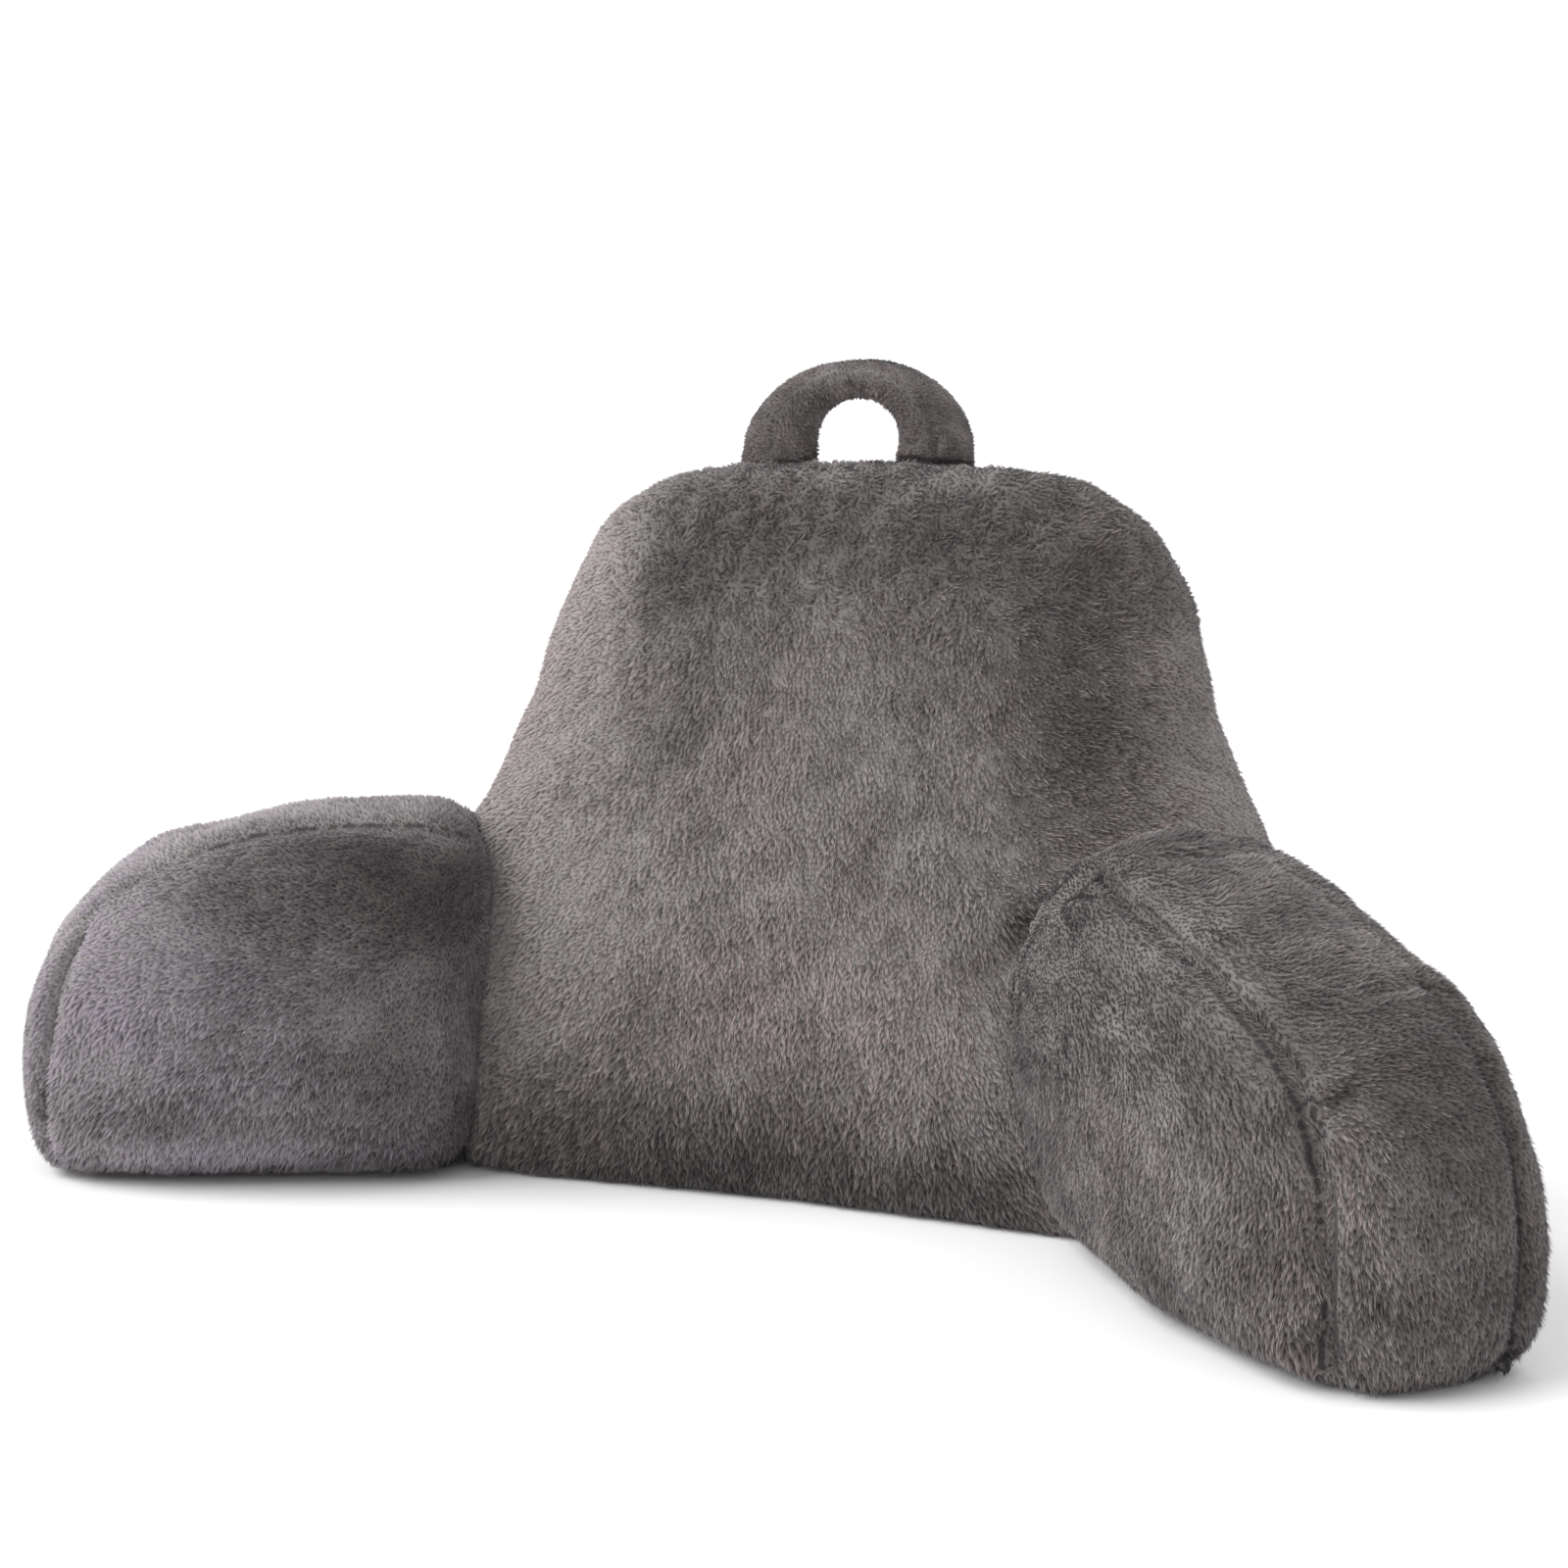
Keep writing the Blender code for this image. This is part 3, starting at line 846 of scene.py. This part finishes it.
def comb_all():
    way, shade, blush = nap_backrest(COVERS["backrest_cover"].data)
    store_nap(COVERS["backrest_cover"], way, shade, blush, 61)
    for name, strokes_and_painted_light, blushes, seed in (("arm_left", LEFT_STROKES_AND_PAINTED_LIGHT, LEFT_BLUSH, 70),
                                         ("arm_right", RIGHT_STROKES_AND_PAINTED_LIGHT, RIGHT_BLUSH, 90)):
        cover = COVERS[name + "_cover"]
        way, shade, blush = nap_arm(cover.data, ARMS[name], strokes_and_painted_light, blushes, seed)
        store_nap(cover, way, shade, blush, seed + 1)
    way, shade, blush = nap_handle(COVERS["handle_cover"].data)
    store_nap(COVERS["handle_cover"], way, shade, blush, 64)


comb_all()

# %% [markdown]
# ## Plush finish
# The cloth under the pile and the pile itself share one idea of colour: a shade from dark
# taupe to pale mauve grey. A node group turns the stored shade into that colour, with painted
# shade making it darker at the root of a hair than at its tip, where the hairs shade each other.

# %% A helper for nodes
def add_node(tree, kind, inputs=None, operation=None, data_type=None):
    """A new node. An input given as a socket is linked to it, any other value is set."""
    node = tree.nodes.new(kind)
    if operation:
        node.operation = operation
    if data_type:
        node.data_type = data_type
    for name, value in (inputs or {}).items():
        if isinstance(value, bpy.types.NodeSocket):
            tree.links.new(value, node.inputs[name])
        else:
            node.inputs[name].default_value = value
    return node


# %% The shared colour group
def plush_colour_group():
    """Shade to colour: from dark through middle to pale dye, with painted shade towards the root."""
    group = bpy.data.node_groups.new("plush_colour", "ShaderNodeTree")
    for label, value in (("Shade", 0.5), ("Tip", 1.0), ("Dark", (0.040, 0.035, 0.034, 1)),
                         ("Middle", (0.150, 0.135, 0.131, 1)), ("Pale", (0.330, 0.300, 0.298, 1)),
                         ("Tint", (1.0, 1.0, 1.0, 1)), ("Blush", 0.0), ("Root Darkness", 0.80)):
        kind = "NodeSocketFloat" if isinstance(value, float) else "NodeSocketColor"
        socket = group.interface.new_socket(name=label, in_out="INPUT", socket_type=kind)
        socket.default_value = value
    group.interface.new_socket(name="Color", in_out="OUTPUT", socket_type="NodeSocketColor")
    given = group.nodes.new("NodeGroupInput").outputs
    low = add_node(group, "ShaderNodeMapRange", {"Value": given["Shade"], "From Min": 0.0, "From Max": 0.5})
    high = add_node(group, "ShaderNodeMapRange", {"Value": given["Shade"], "From Min": 0.5, "From Max": 1.0})
    first = add_node(group, "ShaderNodeMix", {"Factor": low.outputs["Result"], "A": given["Dark"],
                                              "B": given["Middle"]}, data_type="RGBA")
    second = add_node(group, "ShaderNodeMix", {"Factor": high.outputs["Result"], "B": given["Pale"],
                                               "A": first.outputs["Result"]}, data_type="RGBA")
    # Painted shade: darker towards a hair's root, where the hairs shade each other.
    at_root = add_node(group, "ShaderNodeMath", operation="SUBTRACT")
    at_root.inputs[0].default_value = 1.0
    group.links.new(given["Root Darkness"], at_root.inputs[1])
    keep = add_node(group, "ShaderNodeMapRange", {"Value": given["Tip"], "To Max": 1.0,
                                                  "To Min": at_root.outputs[0]})
    scaled = add_node(group, "ShaderNodeVectorMath", {"Scale": keep.outputs["Result"]}, "SCALE")
    group.links.new(second.outputs["Result"], scaled.inputs[0])
    tinted = add_node(group, "ShaderNodeMix", {"Factor": given["Blush"], "A": scaled.outputs[0],
                                               "B": given["Tint"]}, data_type="RGBA")
    tinted.blend_type = "MULTIPLY"
    add_node(group, "NodeGroupOutput", {"Color": tinted.outputs["Result"]})
    return group


PLUSH_COLOUR = plush_colour_group()
print("plush colour inputs:", [item.name for item in PLUSH_COLOUR.interface.items_tree])


# %% [markdown]
# The pile's colour depends only on its own map, and the cloth's on what its cover keeps.
# Both are matt with a soft sheen, which is how short plush catches light at its edges.

# %% Pile and cloth materials
SHEEN_TINT = (0.80, 0.76, 0.78, 1)


def soft_shader(material, roughness, sheen):
    """The material's own shader, set matt with a soft sheen."""
    material.use_nodes = True
    shader = material.node_tree.nodes["Principled BSDF"]
    shader.inputs["Roughness"].default_value = roughness
    shader.inputs["Sheen Weight"].default_value = sheen
    shader.inputs["Sheen Roughness"].default_value = 0.45
    shader.inputs["Sheen Tint"].default_value = SHEEN_TINT
    shader.inputs["Specular IOR Level"].default_value = 0.15
    return shader


def dyed_colour(tree, dye):
    """The shared colour group with this dye's colours."""
    colour = tree.nodes.new("ShaderNodeGroup")
    colour.node_tree = PLUSH_COLOUR
    for label, value in dye.items():
        colour.inputs[label].default_value = (*value, 1)
    return colour


def pile_material(name, dye):
    """Hairs. Their own map holds the shade across and the way from root to tip upward.
    Its left half is the plain dye and its right half the tinted one."""
    material = bpy.data.materials.new(name)
    shader = soft_shader(material, roughness=0.75, sheen=0.35)
    tree = material.node_tree
    hair = tree.nodes.new("ShaderNodeUVMap")
    hair.uv_map = "OFBake"
    split = add_node(tree, "ShaderNodeSeparateXYZ", {"Vector": hair.outputs["UV"]})
    doubled = add_node(tree, "ShaderNodeMath", operation="MULTIPLY")
    doubled.inputs[1].default_value = 2.0
    shade = add_node(tree, "ShaderNodeMath", operation="FRACT")
    blush = add_node(tree, "ShaderNodeMath", operation="GREATER_THAN")
    blush.inputs[1].default_value = 0.5
    tree.links.new(split.outputs["X"], doubled.inputs[0])
    tree.links.new(doubled.outputs[0], shade.inputs[0])
    tree.links.new(split.outputs["X"], blush.inputs[0])
    colour = dyed_colour(tree, dye)
    tree.links.new(shade.outputs[0], colour.inputs["Shade"])
    tree.links.new(blush.outputs[0], colour.inputs["Blush"])
    tree.links.new(split.outputs["Y"], colour.inputs["Tip"])
    tree.links.new(colour.outputs["Color"], shader.inputs["Base Color"])
    return material


def cloth_material(name, dye):
    """The ground cloth between the hairs: the same shades, painted darker as shade under the hairs and
    darker still along its seams, with a fine fuzz.
    """
    material = bpy.data.materials.new(name)
    shader = soft_shader(material, roughness=0.95, sheen=0.2)
    tree = material.node_tree
    place = tree.nodes.new("ShaderNodeTexCoord")
    fuzz = add_node(tree, "ShaderNodeTexNoise", {"Vector": place.outputs["Object"], "Scale": 420,
                                                 "Detail": 4})
    kept = {}
    for label in ("shade", "seam"):
        kept[label] = tree.nodes.new("ShaderNodeAttribute")
        kept[label].attribute_name = label
    mottled = add_node(tree, "ShaderNodeMath", operation="MULTIPLY_ADD")
    mottled.inputs[1].default_value = 0.35
    tree.links.new(fuzz.outputs["Fac"], mottled.inputs[0])
    tree.links.new(kept["shade"].outputs["Fac"], mottled.inputs[2])
    # Painted shade: the cloth deep under the hairs keeps only part of its colour, and less still along a
    # seam.
    lit = add_node(tree, "ShaderNodeMapRange", {"Value": kept["seam"].outputs["Fac"], "To Min": 0.35,
                                                "To Max": -0.8})
    colour = dyed_colour(tree, dye)
    tree.links.new(lit.outputs["Result"], colour.inputs["Tip"])
    tree.links.new(mottled.outputs[0], colour.inputs["Shade"])
    tree.links.new(colour.outputs["Color"], shader.inputs["Base Color"])
    bump = add_node(tree, "ShaderNodeBump", {"Height": fuzz.outputs["Fac"], "Strength": 0.5,
                                             "Distance": 0.002})
    tree.links.new(bump.outputs["Normal"], shader.inputs["Normal"])
    return material


# %% [markdown]
# One taupe dye serves the whole pillow. The left arm's pale strokes look bluish, the rest
# rosy, so the two differ only in their tint.

# %% Two dyes
TAUPE = {"Dark": (0.052, 0.047, 0.046), "Middle": (0.232, 0.214, 0.211),
         "Pale": (0.540, 0.505, 0.500), "Tint": (1.12, 0.97, 0.98)}
MAUVE = {**TAUPE, "Tint": (1.00, 0.96, 1.12)}
DYES = {"backrest_cover": TAUPE, "arm_left_cover": MAUVE, "arm_right_cover": TAUPE,
        "handle_cover": TAUPE}
PILE_MATERIALS = {}
for cover_name, cover in COVERS.items():
    owner = cover_name.replace("_cover", "").replace("backrest", "back")
    PILE_MATERIALS[cover_name] = pile_material(owner + "_plush_pile", DYES[cover_name])
for cover_name, cover in COVERS.items():
    cover.data.materials.append(cloth_material(cover_name + "_cloth", DYES[cover_name]))
print("materials:", [material.name for material in PILE_MATERIALS.values()])

# %% [markdown]
# ## Tufts
# Plush hairs cling together in small tufts whose tips meet. One tuft is a handful of thin
# blades that rise from the cloth and lean over. A few different tufts, each turned and
# scaled at random, are enough for the whole pillow.

# %% Tufts
TUFT_KINDS = 5
PITCH = (18, 42)             # degrees that a blade rises from the cloth
BLADE_LENGTHS = (0.75, 1.15)
ODD_SHADE = 0.160            # how much one blade differs in shade from the next


def make_tuft(name, seed, blades=8, reach=0.0068, spread=0.0016, width=0.00085):
    """Blades that start round the origin, lean towards +X and end close together."""
    dice = np.random.default_rng(seed)
    points, faces, along, odd = [], [], [], []
    for number in range(blades):
        angle = 2 * math.pi * (number + dice.uniform(0, 0.8)) / blades
        radius = spread * math.sqrt(dice.uniform(0.1, 1))
        root = np.array([radius * math.cos(angle), radius * math.sin(angle), -0.0004])
        pitch = math.radians(dice.uniform(*PITCH))
        length = reach * dice.uniform(*BLADE_LENGTHS)
        lean = np.array([math.cos(pitch), 0, math.sin(pitch)])
        tip = root * 0.4 + lean * length + np.array([0, dice.normal(0, 0.0005), 0])
        roll = dice.normal(0, 0.30)
        side = np.array([0, math.cos(roll), math.sin(roll)]) * width * dice.uniform(0.7, 1.25)
        first = len(points)
        points += [root + side / 2, tip, root - side / 2]
        faces.append((first, first + 2, first + 1))
        along += [0.0, 1.0, 0.0]
        odd += [dice.normal(0, ODD_SHADE)] * 3
    mesh = bpy.data.meshes.new(name)
    mesh.from_pydata([tuple(p) for p in points], [], faces)
    store(mesh, "along", np.array(along))
    store(mesh, "odd", np.array(odd))
    return bpy.data.objects.new(name, mesh)


tufts = bpy.data.collections.new("tufts")
scene.collection.children.link(tufts)
for number in range(TUFT_KINDS):
    tufts.objects.link(make_tuft(f"tuft_{number}", 100 + number))
BLADES = len(tufts.objects[0].data.polygons)

# %% [markdown]
# ## Growing the pile
# A Geometry Nodes tree scatters points over a cover, evenly, stands a tuft on each, turns
# it so that it leans with the nap, and gives it a random twist and size. The same tree
# serves every cover, with its own spacing and seed.

# %% The tree's parts
TWIST = (0.6, 0.30, 1.6)     # the most a tuft turns about each of its axes
SIZES = (0.75, 1.20)         # the smallest and the largest tuft


def stored(tree, name, kind="FLOAT"):
    """A value that the cover keeps for each of its points."""
    return add_node(tree, "GeometryNodeInputNamedAttribute", {"Name": name},
                    data_type=kind).outputs["Attribute"]


def scattered_points(tree, given):
    """Even points on the cover, each marked with the clump it belongs to, and its nap."""
    scatter = tree.nodes.new("GeometryNodeDistributePointsOnFaces")
    scatter.distribute_method = "POISSON"
    scatter.inputs["Density Max"].default_value = 900000
    tree.links.new(given["Cover"], scatter.inputs["Mesh"])
    tree.links.new(given["Spacing"], scatter.inputs["Distance Min"])
    tree.links.new(stored(tree, "grows"), scatter.inputs["Density Factor"])
    tree.links.new(given["Seed"], scatter.inputs["Seed"])
    place = tree.nodes.new("GeometryNodeInputPosition").outputs["Position"]
    cells = add_node(tree, "ShaderNodeTexVoronoi", {"Vector": place, "Scale": given["Clumps"]})
    inward = add_node(tree, "ShaderNodeVectorMath", operation="SUBTRACT")
    tree.links.new(cells.outputs["Position"], inward.inputs[0])
    tree.links.new(place, inward.inputs[1])
    gather = add_node(tree, "ShaderNodeVectorMath", {"Scale": given["Gather"]}, "SCALE")
    tree.links.new(inward.outputs[0], gather.inputs[0])
    heading = add_node(tree, "ShaderNodeVectorMath", operation="ADD")
    tree.links.new(gather.outputs[0], heading.inputs[0])
    tree.links.new(stored(tree, "nap", "FLOAT_VECTOR"), heading.inputs[1])
    marked = add_node(tree, "GeometryNodeStoreNamedAttribute",
                      {"Name": "cell", "Geometry": scatter.outputs["Points"]}, data_type="FLOAT_VECTOR")
    tree.links.new(cells.outputs["Color"], marked.inputs["Value"])
    return marked.outputs["Geometry"], heading.outputs[0]


def tuft_rotation(tree, given, heading):
    """Upright on the cover, leaning along the heading, with a random twist."""
    stand = add_node(tree, "FunctionNodeAlignRotationToVector",
                     {"Vector": stored(tree, "up", "FLOAT_VECTOR")})
    stand.axis = "Z"
    lean = add_node(tree, "FunctionNodeAlignRotationToVector",
                    {"Rotation": stand.outputs["Rotation"], "Vector": heading})
    lean.axis = "X"
    lean.pivot_axis = "Z"
    twist = add_node(tree, "FunctionNodeRandomValue", {"Min": [-turn for turn in TWIST], "Max": TWIST},
                     data_type="FLOAT_VECTOR")
    tree.links.new(given["Seed"], twist.inputs["Seed"])
    wild = add_node(tree, "ShaderNodeVectorMath", {"Scale": given["Unruly"]}, "SCALE")
    tree.links.new(twist.outputs["Value"], wild.inputs[0])
    local = add_node(tree, "ShaderNodeVectorMath", {"Scale": stored(tree, "wild")}, "SCALE")
    tree.links.new(wild.outputs[0], local.inputs[0])
    turned = add_node(tree, "FunctionNodeRotateRotation", {"Rotation": lean.outputs["Rotation"]})
    turned.rotation_space = "LOCAL"
    tree.links.new(local.outputs[0], turned.inputs["Rotate By"])
    return turned.outputs["Rotation"]


def tuft_size(tree, given):
    size = add_node(tree, "FunctionNodeRandomValue", data_type="FLOAT")
    size.inputs[2].default_value = SIZES[0]
    size.inputs[3].default_value = SIZES[1]
    tree.links.new(given["Seed"], size.inputs["Seed"])
    product = size.outputs[1]
    for factor in (stored(tree, "fluff"), given["Length"]):
        times = add_node(tree, "ShaderNodeMath", operation="MULTIPLY")
        tree.links.new(product, times.inputs[0])
        tree.links.new(factor, times.inputs[1])
        product = times.outputs[0]
    return product


# %% The whole tree
def pile_tree():
    tree = bpy.data.node_groups.new("grow_pile", "GeometryNodeTree")
    for label, kind in (("Cover", "Geometry"), ("Tufts", "Collection"), ("Spacing", "Float"),
                        ("Length", "Float"), ("Unruly", "Float"), ("Clumps", "Float"),
                        ("Gather", "Float"), ("Seed", "Int"), ("Plush", "Material")):
        tree.interface.new_socket(name=label, in_out="INPUT", socket_type="NodeSocket" + kind)
    tree.interface.new_socket(name="Pile", in_out="OUTPUT", socket_type="NodeSocketGeometry")
    given = tree.nodes.new("NodeGroupInput").outputs
    points, heading = scattered_points(tree, given)
    family = add_node(tree, "GeometryNodeCollectionInfo",
                      {"Separate Children": True, "Reset Children": True, "Collection": given["Tufts"]})
    pick = add_node(tree, "FunctionNodeRandomValue", {"Min": 0}, data_type="INT")
    for socket in pick.inputs:
        if socket.name == "Max" and socket.type == "INT":
            socket.default_value = len(tufts.objects) - 1
    plant = add_node(tree, "GeometryNodeInstanceOnPoints",
                     {"Pick Instance": True, "Points": points, "Instance": family.outputs[0],
                      "Rotation": tuft_rotation(tree, given, heading), "Scale": tuft_size(tree, given),
                      "Instance Index": next(s for s in pick.outputs if s.type == "INT")})
    real = add_node(tree, "GeometryNodeRealizeInstances", {"Geometry": plant.outputs["Instances"]})
    dress = add_node(tree, "GeometryNodeSetMaterial",
                     {"Geometry": real.outputs["Geometry"], "Material": given["Plush"]})
    add_node(tree, "NodeGroupOutput", {"Pile": dress.outputs["Geometry"]})
    return tree


PILE_TREE = pile_tree()
print("pile tree of", len(PILE_TREE.nodes), "nodes")

# %% [markdown]
# The tree's result becomes a plain mesh. Each blade gets its place on the colour map, and
# its shading is blended with that of the cloth under it, so that the pile reads as one
# soft surface with fine relief instead of a heap of hard splinters.

# %% Grow and finish one pile
CLUMP_TONE = 0.30            # how much one clump differs in shade from the next
TUFT_TONE = 0.055            # and one tuft from the next
OWN_SHADING = 0.75           # how far a blade is shaded by its own side
CLOTH_SHADING = 0.65         # and how far as the cloth under it
PILE_VALUES = ("along", "odd", "up", "nap", "grows", "fluff", "seam", "part", "cell", "shade",
               "blush", "wild")


def set_input(modifier, label, value):
    for item in modifier.node_group.interface.items_tree:
        if item.item_type == "SOCKET" and item.in_out == "INPUT" and item.name == label:
            modifier[item.identifier] = value


def finish_pile(mesh):
    """Give the hairs their own map and soften their shading towards the cloth under them."""
    corners = np.empty(len(mesh.loops), np.int32)
    mesh.loops.foreach_get("vertex_index", corners)
    blades = len(corners) // 3
    shade = read(mesh, "shade") + read(mesh, "odd") + CLUMP_TONE * (read(mesh, "cell", 3)[:, 0] - 0.5)
    dice = np.random.default_rng(blades)
    per_tuft = np.repeat(dice.normal(0, TUFT_TONE, blades // BLADES + 1), BLADES)[:blades]
    tinted = dice.uniform(0, 1, blades) < read(mesh, "blush")[corners[::3]]
    tone = np.clip(shade[corners[::3]] + per_tuft, 0.03, 0.97)
    u = np.repeat(0.5 * tone + 0.5 * tinted, 3) + np.tile([-0.002, 0.002, 0.0], blades)
    layer = mesh.uv_layers.new(name="OFBake")
    v = read(mesh, "along")[corners]
    layer.uv.foreach_set("vector", np.stack([u, v], 1).astype(np.float32).ravel())
    points = points_of(mesh)
    points[:, 2] = np.maximum(points[:, 2], 0.0003)
    set_points(mesh, points)
    corner_points = points[corners].reshape(-1, 3, 3)
    own = np.cross(corner_points[:, 1] - corner_points[:, 0], corner_points[:, 2] - corner_points[:, 0])
    own /= np.maximum(np.linalg.norm(own, axis=1), 1e-12)[:, None]
    soft = np.repeat(own, 3, axis=0) * OWN_SHADING + read(mesh, "up", 3)[corners] * CLOTH_SHADING
    soft /= np.maximum(np.linalg.norm(soft, axis=1), 1e-6)[:, None]
    mesh.normals_split_custom_set(soft.tolist())
    for name in [a.name for a in mesh.attributes]:
        if name in PILE_VALUES:
            mesh.attributes.remove(mesh.attributes[name])


def grow(cover_name, pile_name, spacing, length, unruly, seed, keep=None, clump=0.0048):
    """Pile on one cover, or on the part of it that keep picks."""
    cover = COVERS[cover_name]
    ground = bpy.data.objects.new(pile_name, cover.data.copy())
    scene.collection.objects.link(ground)
    if keep is not None:
        grows = read(ground.data, "grows") * keep(points_of(ground.data), normals_of(ground.data))
        ground.data.attributes["grows"].data.foreach_set("value", grows.astype(np.float32))
    growth = ground.modifiers.new("pile", "NODES")
    growth.node_group = PILE_TREE
    set_input(growth, "Tufts", tufts)
    set_input(growth, "Spacing", spacing)
    set_input(growth, "Length", length)
    set_input(growth, "Unruly", unruly)
    set_input(growth, "Clumps", 1 / clump)
    set_input(growth, "Gather", 0.45 / clump)
    set_input(growth, "Seed", seed)
    set_input(growth, "Plush", PILE_MATERIALS[cover_name])
    apply_modifiers(ground)
    finish_pile(ground.data)
    print(pile_name, len(ground.data.polygons), "blades")
    return ground


# %% [markdown]
# The front gets the densest pile. The rear, which lies in shadow against a wall or a
# headboard, gets fewer and longer tufts. The back's front is grown in two pieces, so that
# none gets too heavy.

# %% Grow all the pile
HALFWAY = 0.235              # height at which the back's front pile is split in two
TURNS_BACK = 0.25            # a surface is counted as rear when it faces this much backward


def front_low(points, normals):
    return (normals[:, 1] < TURNS_BACK) & (points[:, 2] < HALFWAY)


def front_high(points, normals):
    return (normals[:, 1] < TURNS_BACK) & (points[:, 2] >= HALFWAY)


def rear(points, normals):
    return normals[:, 1] >= TURNS_BACK


def front(points, normals):
    return normals[:, 1] < TURNS_BACK


PILES = [
    grow("backrest_cover", "backrest_front_low_pile", 0.00235, 1.0, 0.40, 1, front_low),
    grow("backrest_cover", "backrest_front_high_pile", 0.00235, 1.0, 0.40, 2, front_high),
    grow("backrest_cover", "backrest_rear_pile", 0.0037, 1.15, 0.40, 3, rear),
    grow("arm_left_cover", "arm_left_front_pile", 0.00235, 1.0, 0.40, 4, front),
    grow("arm_left_cover", "arm_left_rear_pile", 0.0037, 1.15, 0.40, 5, rear),
    grow("arm_right_cover", "arm_right_front_pile", 0.00235, 1.0, 0.40, 6, front),
    grow("arm_right_cover", "arm_right_rear_pile", 0.0034, 1.1, 0.40, 7, rear),
    grow("handle_cover", "handle_pile", 0.0019, 0.62, 0.50, 8, clump=0.004),
]
for tuft in list(tufts.objects):
    bpy.data.objects.remove(tuft)
bpy.data.collections.remove(tufts)

# %% [markdown]
# ## Hand over
# Every piece rides on the one body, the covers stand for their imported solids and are
# declared as padded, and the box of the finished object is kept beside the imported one.

# %% Hand over
COVERED_NODES = {"backrest_cover": "backrest", "arm_left_cover": "arm_left",
                 "arm_right_cover": "arm_right", "handle_cover": "carry_handle"}
SLOTS = {"backrest": "back_plush", "arm_left": "arm_plush", "arm_right": "arm_plush",
         "handle": "handle_plush"}
for cover_name, node in COVERED_NODES.items():
    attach(COVERS[cover_name], "root")
    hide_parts(node)
for pile in PILES:
    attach(pile, "root")
    owner = next(key for key in SLOTS if pile.name.startswith(key))
